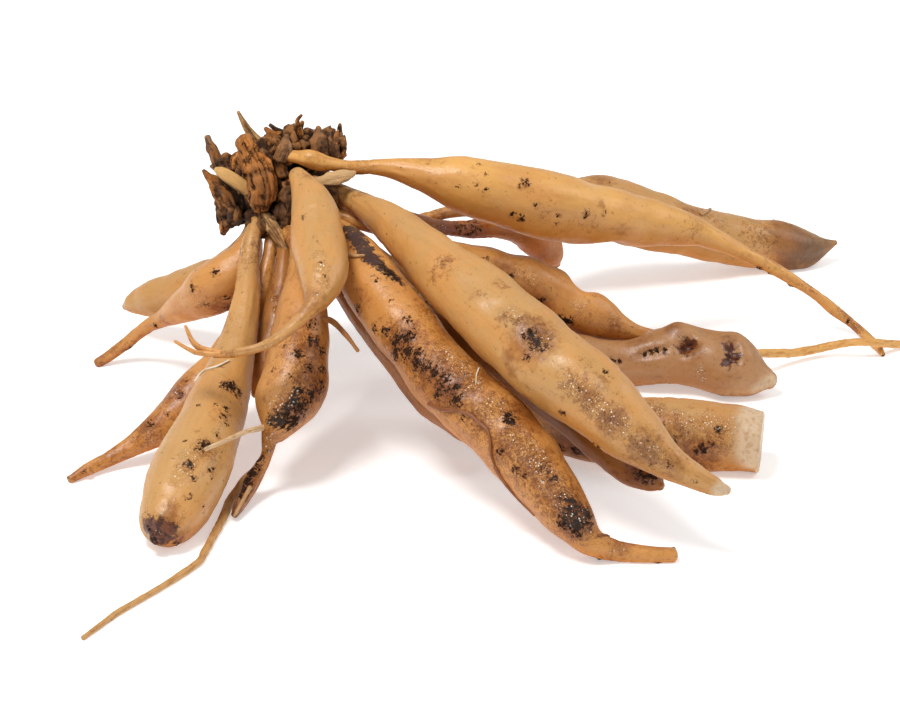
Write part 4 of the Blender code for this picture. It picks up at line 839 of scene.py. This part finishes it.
def place(piece, node, slot):
    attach(piece, "root")
    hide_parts(node)


def tinted(places, faces, colour, fibre):
    """A part of the crown: its points, its faces, its colour and its fibre coordinates."""
    return dict(places=places, faces=faces, colour=np.tile(colour, (len(places), 1)), fibre=fibre)


def crown_lump(middle, halves, fineness):
    """A knobbly, grooved lump of old wood."""
    bm = bmesh.new()
    bmesh.ops.create_icosphere(bm, subdivisions=fineness, radius=1.0)
    out = np.array([vert.co[:] for vert in bm.verts])
    faces = [[vert.index for vert in face.verts] for face in bm.faces]
    bm.free()
    places = np.array(middle) + out * np.array(halves)
    coarse = np.array([noise.noise(Vector(place) / CROWN_ROUGH_SIZE) for place in places])
    knobs = np.maximum(rough(places, KNOB_SIZE, 3), 0.0)
    knobs = knobs + SMALL_KNOB_HEIGHT * rough(places, SMALL_KNOB_SIZE, 4)
    grooves = rough(places / np.array(GROOVE_STRETCH), GROOVE_SIZE, 6)
    fibres = FIBRE_HEIGHT * rough(places / np.array(FIBRE_STRETCH), FIBRE_SIZE, 5)
    fibres = fibres - GROOVE_DEPTH * (1.0 - smoothstep(0.0, 0.35, np.abs(grooves)))
    places = places + out * (CROWN_ROUGH * coarse + knobs + fibres)[:, None]
    return tinted(places, faces, BARK, places[:, [2, 0, 1]])


def crown_scale(stations, flatness, facing, colour, seed, sides=SCALE_SIDES, step=SCALE_STEP):
    """A torn sheath or a bud: a curled, ridged, pointed loft whose thin side faces the given way."""
    path = capped(smooth_path(stations, step), False)
    centres, width = path[:, :3], path[:, 3]
    along = directions(centres)
    side = unit(np.cross(along, np.array(facing, dtype=float)))
    front = np.cross(side, along)
    angles = np.arange(sides) * 2 * math.pi / sides
    wide = width[:, None] * np.cos(angles)
    thickness = np.maximum(width * flatness, np.minimum(width, SCALE_THINNEST))
    thick = thickness[:, None] * np.sin(angles)
    fibre = np.stack([np.broadcast_to(run_along(centres)[:, None], wide.shape), wide, thick], axis=2)
    ridges = rough(fibre / np.array(SCALE_RIDGE), 1.0, seed)
    ridges = ridges + 0.5 * rough(fibre / np.array(SCALE_FINE_RIDGE), 1.0, seed + 1)
    tear = rough(fibre / np.array(SCALE_TEAR), 1.0, seed + 2)
    scale = 1.0 + (0.15 * ridges + 0.18 * tear) * (1.0 if flatness < ROUND_SCALE else 0.2)
    curl = -SCALE_CURL * (1.0 - flatness) * wide ** 2 / np.maximum(width[:, None], 0.3)
    points = (centres[:, None] + (wide * scale)[..., None] * side[:, None]
              + (thick * scale + curl)[..., None] * front[:, None])
    return tinted(closed_points(points), tube_faces(len(points), sides), colour, closed_rows(fibre))


def back_sheaths():
    """Stations of sheaths that fan out round the back, each a little unlike the next."""
    draw = random.Random(BACK_SEED)
    for k in range(BACK_SHEATHS):
        turn = math.radians(BACK_TURN[0] + (BACK_TURN[1] - BACK_TURN[0]) * k / (BACK_SHEATHS - 1))
        turn += draw.uniform(-BACK_SWAY, BACK_SWAY)
        out = Vector((math.cos(turn), math.sin(turn), 0.0))
        foot = Vector(BACK_MIDDLE) + Vector((out.x * BACK_REACH[0], out.y * BACK_REACH[1], 0.0))
        foot.z += draw.uniform(*BACK_RISE)
        lean = Vector((out.x, out.y, draw.uniform(*BACK_LEAN))).normalized()
        length = draw.uniform(*BACK_LENGTH)
        middle = foot + lean * length * 0.5 + out * BACK_BULGE
        tip = foot + lean * length + Vector((0.0, 0.0, BACK_TIP_RISE))
        stations = [(*foot, BACK_WIDTH), (*middle, BACK_WIDTH * 0.8), (*tip, BACK_WIDTH * 0.2)]
        yield stations, BACK_FLATNESS, tuple(out)


def flakes():
    """Short worn sheaths that lie close on the crown's lumps and point up."""
    draw = random.Random(FLAKE_SEED)
    for _ in range(FLAKES):
        centre, halves = draw.choice(CROWN_LUMPS)
        out = Vector((draw.gauss(0, 1), draw.gauss(-0.2, 1), draw.gauss(0.1, 0.5))).normalized()
        foot = Vector(centre) + Vector([a * b for a, b in zip(out, halves)])
        slope = Vector([a / b for a, b in zip(out, halves)]).normalized()
        up = Vector((draw.uniform(-0.4, 0.4), draw.uniform(-0.4, 0.4), 1.0))
        lean = (up - slope * up.dot(slope)).normalized()
        length = draw.uniform(*FLAKE_LENGTH)
        width = draw.uniform(*FLAKE_WIDTH)
        flatness = draw.uniform(*FLAKE_FLATNESS)
        colour = draw.choice(FLAKE_COLOURS)
        if foot.z < FLAKE_LOWEST:
            continue
        start = foot - lean * length * 0.5 - slope * 0.8
        middle = foot + slope * 0.7
        tip = foot + lean * length * 0.5 - slope * 0.3
        yield [(*start, width), (*middle, width), (*tip, width * 0.3)], flatness, tuple(slope), colour


def linked(name, data):
    """A new object of the scene that carries the data."""
    made = bpy.data.objects.new(name, data)
    bpy.context.scene.collection.objects.link(made)
    return made


def mesh_object(name, places, faces):
    mesh = bpy.data.meshes.new(name)
    mesh.from_pydata(to_metres(places).tolist(), [], faces)
    bm = bmesh.new()
    bm.from_mesh(mesh)
    bmesh.ops.recalc_face_normals(bm, faces=bm.faces)
    bm.to_mesh(mesh)
    bm.free()
    return linked(name, mesh)


def fused(name, parts):
    """One closed body from the parts, with the colour and fibre coordinates of the nearest part."""
    pieces = [mesh_object(f"{name}_{k}", part["places"], part["faces"]) for k, part in enumerate(parts)]
    body = pieces[0]
    tools = bpy.data.collections.new("tools")
    bpy.context.scene.collection.children.link(tools)
    for piece in pieces[1:]:
        bpy.context.scene.collection.objects.unlink(piece)
        tools.objects.link(piece)
    boolean = body.modifiers.new("union", "BOOLEAN")
    boolean.operation = "UNION"
    boolean.operand_type = "COLLECTION"
    boolean.collection = tools
    boolean.solver = "MANIFOLD"
    bpy.context.view_layer.update()
    mesh = bpy.data.meshes.new_from_object(body.evaluated_get(bpy.context.evaluated_depsgraph_get()))
    body.modifiers.clear()
    body.data = mesh
    for piece in pieces[1:]:
        bpy.data.objects.remove(piece, do_unlink=True)
    bpy.data.collections.remove(tools)
    mesh.materials.clear()
    mesh.name = body.name = name
    places = to_metres(np.vstack([part["places"] for part in parts]))
    colours = np.vstack([part["colour"] for part in parts])
    fibres = np.vstack([part["fibre"] for part in parts])
    tree = kdtree.KDTree(len(places))
    for k, place in enumerate(places):
        tree.insert(place, k)
    tree.balance()
    nearest = [tree.find(vert.co)[1] for vert in mesh.vertices]
    layer = mesh.attributes.new("tint", "FLOAT_COLOR", "POINT")
    rows = np.column_stack([colours[nearest], np.ones(len(nearest))]).astype(np.float32)
    layer.data.foreach_set("color", rows.ravel())
    add_vector(body, "fibre", fibres[nearest])
    return body


def hollowness(mesh, rounds):
    """How far each point lies below its smoothed surroundings, in millimetres; ridges are negative."""
    count = len(mesh.vertices)
    places = np.empty(count * 3)
    mesh.vertices.foreach_get("co", places)
    places = places.reshape(-1, 3) / MM
    normals = np.empty(count * 3)
    mesh.vertex_normals.foreach_get("vector", normals)
    ends = np.empty(len(mesh.edges) * 2, dtype=np.int64)
    mesh.edges.foreach_get("vertices", ends)
    first, second = ends.reshape(-1, 2).T
    neighbours = np.bincount(first, minlength=count) + np.bincount(second, minlength=count)
    smooth = places
    for _ in range(rounds):
        total = np.stack([np.bincount(first, smooth[second, k], count)
                          + np.bincount(second, smooth[first, k], count) for k in range(3)], axis=1)
        smooth = total / np.maximum(neighbours, 1)[:, None]
    return ((smooth - places) * normals.reshape(-1, 3)).sum(axis=1)


def downwardness(mesh):
    """0 where the surface looks up or sideways, 1 where it looks down."""
    normals = np.empty(len(mesh.vertices) * 3)
    mesh.vertex_normals.foreach_get("vector", normals)
    return smoothstep(-0.1, -0.8, normals.reshape(-1, 3)[:, 2])


def make_crown():
    parts = [crown_lump(middle, halves, LUMP_FINENESS if k < 2 else LUMP_FINENESS - 1)
             for k, (middle, halves) in enumerate(CROWN_LUMPS)]
    parts += [crown_scale(*row, seed=SCALE_SEED + k) for k, row in enumerate(CROWN_SCALES)]
    parts += [crown_scale(*row, RUST if k % 2 else GREY_STRAW, seed=BACK_SCALE_SEED + k)
              for k, row in enumerate(back_sheaths())]
    parts += [crown_scale(*row, seed=FLAKE_SCALE_SEED + k, sides=FLAKE_SIDES, step=FLAKE_STEP)
              for k, row in enumerate(flakes())]
    crown = fused("crown_bark", parts)
    # These hollows, fine edges and downward faces drive painted shade in the bark material.
    add_number(crown, "hollow", hollowness(crown.data, HOLLOW_ROUNDS))
    add_number(crown, "edge", hollowness(crown.data, EDGE_ROUNDS))
    add_number(crown, "low", downwardness(crown.data))
    crown.data.shade_smooth()
    crown.data.materials.append(bark_material())
    place(crown, "crown", "crown_bark")


class Shading:
    """A material's node tree, with short calls for the nodes used here."""

    def __init__(self, name):
        self.material = bpy.data.materials.new(name)
        self.material.use_nodes = True
        self.tree = self.material.node_tree
        self.shader = self.tree.nodes["Principled BSDF"]

    def node(self, kind, **settings):
        made = self.tree.nodes.new(kind)
        for key, value in settings.items():
            setattr(made, key, value)
        return made

    def feed(self, socket, value):
        if isinstance(value, bpy.types.NodeSocket):
            self.tree.links.new(value, socket)
        elif isinstance(value, tuple) and socket.type == "RGBA":
            socket.default_value = (*value, 1.0)
        else:
            socket.default_value = value

    def attribute(self, name, output="Fac"):
        return self.node("ShaderNodeAttribute", attribute_name=name).outputs[output]

    def stretch(self, vector, factors):
        made = self.node("ShaderNodeVectorMath", operation="MULTIPLY")
        self.feed(made.inputs[0], vector)
        made.inputs[1].default_value = factors
        return made.outputs[0]

    def noise(self, vector, scale, detail=2.0, roughness=0.5, distortion=0.0):
        made = self.node("ShaderNodeTexNoise")
        self.feed(made.inputs["Vector"], vector)
        made.inputs["Scale"].default_value = scale
        made.inputs["Detail"].default_value = detail
        made.inputs["Roughness"].default_value = roughness
        made.inputs["Distortion"].default_value = distortion
        return made.outputs["Fac"]

    def grains(self, vector, scale):
        """How far off the nearest of many scattered points is, in parts of their spacing."""
        made = self.node("ShaderNodeTexVoronoi")
        self.feed(made.inputs["Vector"], vector)
        made.inputs["Scale"].default_value = scale
        return made.outputs["Distance"]

    def math(self, operation, first, second=0.5, third=0.0):
        made = self.node("ShaderNodeMath", operation=operation)
        self.feed(made.inputs[0], first)
        self.feed(made.inputs[1], second)
        self.feed(made.inputs[2], third)
        return made.outputs[0]

    def step(self, value, low, high, bottom=0.0, top=1.0):
        made = self.node("ShaderNodeMapRange", interpolation_type="SMOOTHSTEP")
        self.feed(made.inputs["Value"], value)
        made.inputs["From Min"].default_value = low
        made.inputs["From Max"].default_value = high
        made.inputs["To Min"].default_value = bottom
        made.inputs["To Max"].default_value = top
        return made.outputs["Result"]

    def mix(self, factor, first, second, blend="MIX"):
        made = self.node("ShaderNodeMix", data_type="RGBA", blend_type=blend)
        self.feed(made.inputs["Factor"], factor)
        self.feed(made.inputs[6], first)
        self.feed(made.inputs[7], second)
        return made.outputs[2]

    def both(self, first, second):
        return self.math("MULTIPLY", first, second)

    def times(self, colour, tone):
        return self.mix(1.0, colour, tone, "MULTIPLY")

    def shaded(self, factor, colour, tone):
        """The colour, multiplied by the tone as far as the factor says."""
        return self.mix(factor, colour, self.times(colour, tone))

    def frayed(self, mark, fray, amount, middle=0.5):
        """How strong a mark is, with an edge that the noise frays."""
        return self.math("MULTIPLY_ADD", self.math("SUBTRACT", fray, middle), amount, self.attribute(mark))

    def bump(self, height, strength, distance, normal=None):
        made = self.node("ShaderNodeBump")
        made.inputs["Strength"].default_value = strength
        made.inputs["Distance"].default_value = distance
        self.feed(made.inputs["Height"], height)
        if normal is not None:
            self.feed(made.inputs["Normal"], normal)
        return made.outputs["Normal"]


def bark_material():
    """Damp fibrous bark: each sheath's colour, streaked, with soil patches and painted shade in crevices,
    hollows and undersides.
    """
    s = Shading("crown_bark")
    fibre = s.attribute("fibre", "Vector")
    tint = s.attribute("tint", "Color")
    edge = s.attribute("edge")
    dark_part = s.step(tint, 0.15, 0.34, 1.0, 0.2)
    streak = s.noise(s.stretch(fibre, (0.18, 1.6, 1.6)), 1.0, 4.0, 0.65)
    colour = s.mix(s.step(streak, 0.36, 0.64), s.times(tint, BARK_STREAK), s.times(tint, BARK_LIGHT))
    patch = s.noise(fibre, 0.17, 3.0, 0.6)
    colour = s.mix(s.both(s.step(patch, 0.47, 0.58), s.both(dark_part, 0.85)), colour, PATCH_RUST)
    grey = s.noise(fibre, 0.30, 3.0, 0.6, 0.4)
    colour = s.mix(s.both(s.step(grey, 0.54, 0.62), s.both(dark_part, 0.75)), colour, PATCH_GREY)
    blacks = s.step(s.noise(fibre, 0.55, 5.0, 0.75), 0.50, 0.58)
    colour = s.mix(s.both(blacks, s.step(tint, 0.24, 0.40, 0.85, 0.05)), colour, SOIL_AND_PAINTED_SHADE)
    ridge = s.both(s.step(edge, -0.04, -0.18, 0.0, 0.6), s.step(patch, 0.38, 0.56))
    colour = s.mix(ridge, colour, s.mix(dark_part, s.times(tint, BARK_RIDGE), WORN))
    colour = s.mix(s.step(tint, 0.36, 0.41, 0.0, 0.85), colour, tint)
    # Painted shade: fine cracks, deep hollows and faces that look down are darkened to soil black.
    crack_shade = s.step(edge, 0.02, 0.14, 0.0, 0.85)
    deep = s.step(s.attribute("hollow"), -0.45, 0.35, 0.0, 0.97)
    colour = s.mix(s.math("MAXIMUM", crack_shade, deep), colour, SOIL_AND_PAINTED_SHADE)
    colour = s.mix(s.step(s.attribute("low"), 0.2, 1.0, 0.0, 0.85), colour, SOIL_AND_PAINTED_SHADE)
    s.feed(s.shader.inputs["Base Color"], colour)
    grain = s.noise(s.stretch(fibre, (0.5, 3.4, 3.4)), 1.0, 3.0, 0.7)
    s.feed(s.shader.inputs["Roughness"], s.step(grain, 0.3, 0.7, 0.38, 0.75))
    s.feed(s.shader.inputs["Normal"], s.bump(grain, 0.9, 0.0007))
    s.shader.inputs["Specular IOR Level"].default_value = 0.12
    return s.material


def skin_material(name, spec):
    """Damp root skin: mottled tan with speckled, stained, gritty and muddy places."""
    pale, deep = spec["skin"]
    s = Shading(name)
    straight = s.attribute("straight", "Vector")
    under = s.attribute("under")
    ragged = s.noise(straight, 0.8, 4.0, 0.7)
    edge = s.noise(straight, 0.9, 4.0, 0.65)
    wet = s.both(s.step(s.frayed("wet", ragged, 1.3), 0.1, 0.75), s.step(s.attribute("wet"), 0.02, 0.25))

    # The skin itself: broad mottling, painted shade on its underside, streaks on the thin parts, faint
    # rings and a bloom.
    broad = s.noise(s.stretch(straight, (0.06, 0.13, 0.13)), 1.0, 4.0, 0.6)
    colour = s.mix(s.step(broad, 0.36, 0.72, 0.0, 0.85), pale, deep)
    # Painted shade: the skin is darker and more saturated where it faces down.
    colour = s.shaded(s.both(under, 0.75), colour, UNDERSIDE_PAINTED_SHADE)
    streaks = s.step(s.noise(s.stretch(straight, (0.10, 0.8, 0.8)), 1.0, 3.0, 0.6), 0.46, 0.66)
    streaks = s.both(streaks, s.math("MULTIPLY_ADD", s.attribute("thin"), 0.35, 0.12))
    colour = s.shaded(streaks, colour, STREAK_SHADE)
    faint = s.noise(s.stretch(straight, (0.75, 0.22, 0.22)), 1.0, 3.0, 0.6, 0.5)
    colour = s.mix(s.step(faint, 0.57, 0.70, 0.0, 0.22), colour, deep)
    bloom = s.noise(straight, 0.22, 3.0, 0.6)
    colour = s.mix(s.step(bloom, 0.55, 0.75, 0.0, 0.35), colour, s.times(pale, BLOOM))
    # Pale marks lighten the skin; in places they are painted highlight.
    colour = s.mix(s.attribute("pale"), colour, s.times(pale, PALEST_AND_PAINTED_HIGHLIGHT))

    # Stains, in places painted shade, and smoke, then dots of three sizes, sown more thickly where the
    # marks say.
    stain_and_shade = s.step(s.frayed("stain_and_shade", edge, 0.9), 0.15, 0.75)
    colour = s.shaded(s.both(stain_and_shade, 0.8), colour, STAIN_SHADE)
    smoke = s.step(s.frayed("smoke", edge, 0.6), 0.1, 1.0)
    colour = s.mix(s.both(smoke, 0.85), colour, SMOKE)
    sown = s.math("MULTIPLY_ADD", s.attribute("specks"), 0.26, spec["dirt"] * 0.12)
    specks = s.step(s.math("ADD", s.noise(straight, 1.7, 4.0, 0.72), sown), 0.74, 0.82)
    colour = s.mix(s.both(specks, 0.8), colour, SPECK)
    blotches = s.step(s.math("ADD", s.noise(straight, 0.6, 4.0, 0.7), sown), 0.66, 0.80, 0.0, 0.6)
    colour = s.shaded(blotches, colour, STAIN_SHADE)
    fine_dots = s.math("ADD", s.noise(straight, 3.6, 2.0, 0.6), s.both(sown, 0.8))
    colour = s.shaded(s.step(fine_dots, 0.72, 0.80, 0.0, 0.65), colour, DOT_SHADE)

    # Torn skin, the slate film, crumbs of soil with a stained rim, painted highlight as white glint dots on
    # wet grains, and bare flesh.
    rust = s.step(s.frayed("rust", edge, 2.0), 0.22, 0.55)
    colour = s.mix(rust, colour, s.mix(s.step(ragged, 0.40, 0.60), TORN_DARK, TORN))
    slate = s.step(s.frayed("slate", edge, 1.8), 0.30, 0.52)
    flecks = s.step(s.noise(straight, 1.3, 4.0, 0.72), 0.54, 0.68)
    colour = s.mix(s.both(slate, 0.92), colour, s.mix(flecks, SLATE, SLATE_FLECK))
    muck = s.frayed("soil", s.noise(straight, 1.25, 6.0, 0.74, 0.3), 3.9, middle=0.52)
    muck = s.both(muck, s.step(s.attribute("soil"), 0.02, 0.3))
    colour = s.shaded(s.step(muck, 0.26, 0.48, 0.0, 0.75), colour, STAIN_SHADE)
    soil = s.step(muck, 0.44, 0.60)
    colour = s.mix(soil, colour, s.mix(s.step(s.noise(straight, 2.2, 3.0, 0.7), 0.50, 0.68), SOIL_AND_PAINTED_SHADE, MUD))
    # Painted highlight: white dots on the wet grains stand for glints.
    grains = s.math("MULTIPLY_ADD", s.noise(straight, 2.4, 2.0, 0.6), 0.55, s.grains(straight, 1.25))
    painted_glints = s.both(s.step(grains, 0.50, 0.40), wet)
    colour = s.mix(s.both(painted_glints, 0.85), colour, PAINTED_GLINT)
    bare = s.math("MAXIMUM", s.attribute("face"), s.step(s.frayed("flesh", ragged, 0.9), 0.15, 0.70))
    colour = s.mix(bare, colour, s.mix(s.step(ragged, 0.44, 0.66), FLESH, FLESH_SHADE))
    s.feed(s.shader.inputs["Base Color"], colour)

    # Gloss where it is wet, and less of it on soil, on slate and below.
    grit = s.noise(straight, 2.0, 4.0, 0.72)
    shine = s.mix(s.both(wet, 0.9), s.step(grit, 0.3, 0.7, 0.27, 0.48), (0.12, 0.12, 0.12))
    s.feed(s.shader.inputs["Roughness"], s.mix(soil, shine, (0.8, 0.8, 0.8)))
    crusted = s.both(s.math("MAXIMUM", soil, s.both(slate, 0.7)), s.step(wet, 0.0, 0.5, 1.0, 0.2))
    matt = s.math("MAXIMUM", under, crusted)
    s.feed(s.shader.inputs["Specular IOR Level"], s.step(matt, 0.0, 1.0, 0.45, 0.08))
    raised = s.math("ADD", s.both(grit, s.math("MULTIPLY_ADD", wet, 2.6, 0.3)), s.both(soil, 0.5))
    fine_bump = s.bump(raised, 0.55, 0.0003)
    s.feed(s.shader.inputs["Normal"], s.bump(s.noise(straight, 0.9, 3.0, 0.6), 0.22, 0.0005, fine_bump))
    s.shader.inputs["Subsurface Weight"].default_value = 0.12
    s.shader.inputs["Subsurface Radius"].default_value = (1.0, 0.4, 0.15)
    s.shader.inputs["Subsurface Scale"].default_value = 0.0012
    return s.material


def thread_material(name, colour):
    """A dry fibre or a thin rootlet: one colour, streaked and specked with soil."""
    s = Shading(name)
    straight = s.attribute("straight", "Vector")
    streak = s.noise(s.stretch(straight, (0.35, 1.6, 1.6)), 1.0, 3.0, 0.6)
    shade = s.shaded(s.step(streak, 0.44, 0.70), colour, THREAD_SHADE)
    shade = s.mix(s.step(s.noise(straight, 0.8, 4.0, 0.7), 0.62, 0.70, 0.0, 0.8), shade, SPECK)
    s.feed(s.shader.inputs["Base Color"], shade)
    s.feed(s.shader.inputs["Roughness"], s.step(streak, 0.3, 0.7, 0.4, 0.65))
    s.feed(s.shader.inputs["Normal"], s.bump(streak, 0.4, 0.0002))
    return s.material


def make_thin(name, node, slot, stations, sides, step, colour):
    """One rootlet or loose fibre."""
    piece, *_ = root_mesh(name, {"path": stations}, sides, step, rootlet=True)
    piece.data.materials.append(thread_material(name, colour))
    place(piece, node, slot)


def make_threads(name, surface, slot):
    """The loose fibres that lie on one root, through the pixels that they pass."""
    rows = [row for row in THREADS if row[0] == name]
    for k, (_, colour, radius, lift, spots) in enumerate(rows):
        places = np.array(pinned(*surface, spots)) + np.array(THREAD_OUTWARD) * (lift + radius)
        radii = np.linspace(radius, radius * THREAD_TAPER, len(places))
        stations = np.column_stack([places, radii]).tolist()
        make_thin(f"{name}_thread_{k + 1}", name, slot, stations, THREAD_SIDES, THREAD_STEP, colour)


def make_roots():
    firm_paths = []
    for name, spec in ROOTS.items():
        thickest = max(row[3] for row in spec["path"])
        sides = int(np.clip(2 * math.pi * thickest / FACE_SIZE, FEWEST_SIDES, MOST_SIDES))
        body, points, out = root_mesh(name, spec, sides, RING_STEP, firm_paths)
        body.data.materials.append(skin_material(f"{name}_skin", spec))
        slot = "pale_root" if name in PALE_ROOTS else "brown_root"
        place(body, name, slot)
        rootlets = zip(spec.get("rootlets", []), spec.get("rootlet_skins", []))
        for k, (stations, colour) in enumerate(rootlets):
            make_thin(f"{name}_rootlet_{k + 1}", name, slot, stations, ROOTLET_SIDES, RING_STEP, colour)
        make_threads(name, (points, out), slot)
        firm_paths.append(smooth_path(spec["path"], PATH_STEP))


def make_camera():
    forward, _ = camera_axes()
    camera = linked("camera", bpy.data.cameras.new("camera"))
    camera.location = to_metres(np.array(CAMERA_TARGET) - forward * CAMERA_DISTANCE)
    camera.rotation_euler = (math.pi / 2 - math.radians(CAMERA_TILT), 0.0, 0.0)
    camera.data.lens = CAMERA_LENS
    camera.data.sensor_width = CAMERA_SENSOR
    camera.data.sensor_fit = "HORIZONTAL"
    camera.data.clip_start = CAMERA_NEAREST_M
    bpy.context.scene.camera = camera


def make_light(name, place_mm, target_mm, size_mm, power):
    light = bpy.data.lights.new(name, "AREA")
    light.shape = "DISK"
    light.size = size_mm * MM
    light.energy = power
    lamp = linked(name, light)
    start = Vector(to_metres(place_mm))
    lamp.location = start
    lamp.rotation_euler = (Vector(to_metres(target_mm)) - start).to_track_quat("-Z", "Y").to_euler()


def make_studio():
    bm = bmesh.new()
    bmesh.ops.create_grid(bm, x_segments=1, y_segments=1, size=FLOOR_HALF_SIZE_M)
    mesh = bpy.data.meshes.new("floor")
    bm.to_mesh(mesh)
    bm.free()
    floor = linked("floor", mesh)
    s = Shading("floor")
    s.shader.inputs["Base Color"].default_value = FLOOR_WHITE
    s.shader.inputs["Roughness"].default_value = FLOOR_ROUGHNESS
    s.shader.inputs["Emission Color"].default_value = PURE_WHITE
    s.shader.inputs["Emission Strength"].default_value = FLOOR_GLOW
    mesh.materials.append(s.material)
    world = bpy.data.worlds.new("studio")
    world.use_nodes = True
    background = world.node_tree.nodes["Background"]
    background.inputs["Color"].default_value = PURE_WHITE
    background.inputs["Strength"].default_value = SKY_LIGHT
    bpy.context.scene.world = world
    for lamp in LAMPS:
        make_light(*lamp)
    bpy.context.scene.view_settings.view_transform = "Standard"


make_roots()
make_crown()
make_camera()
make_studio()
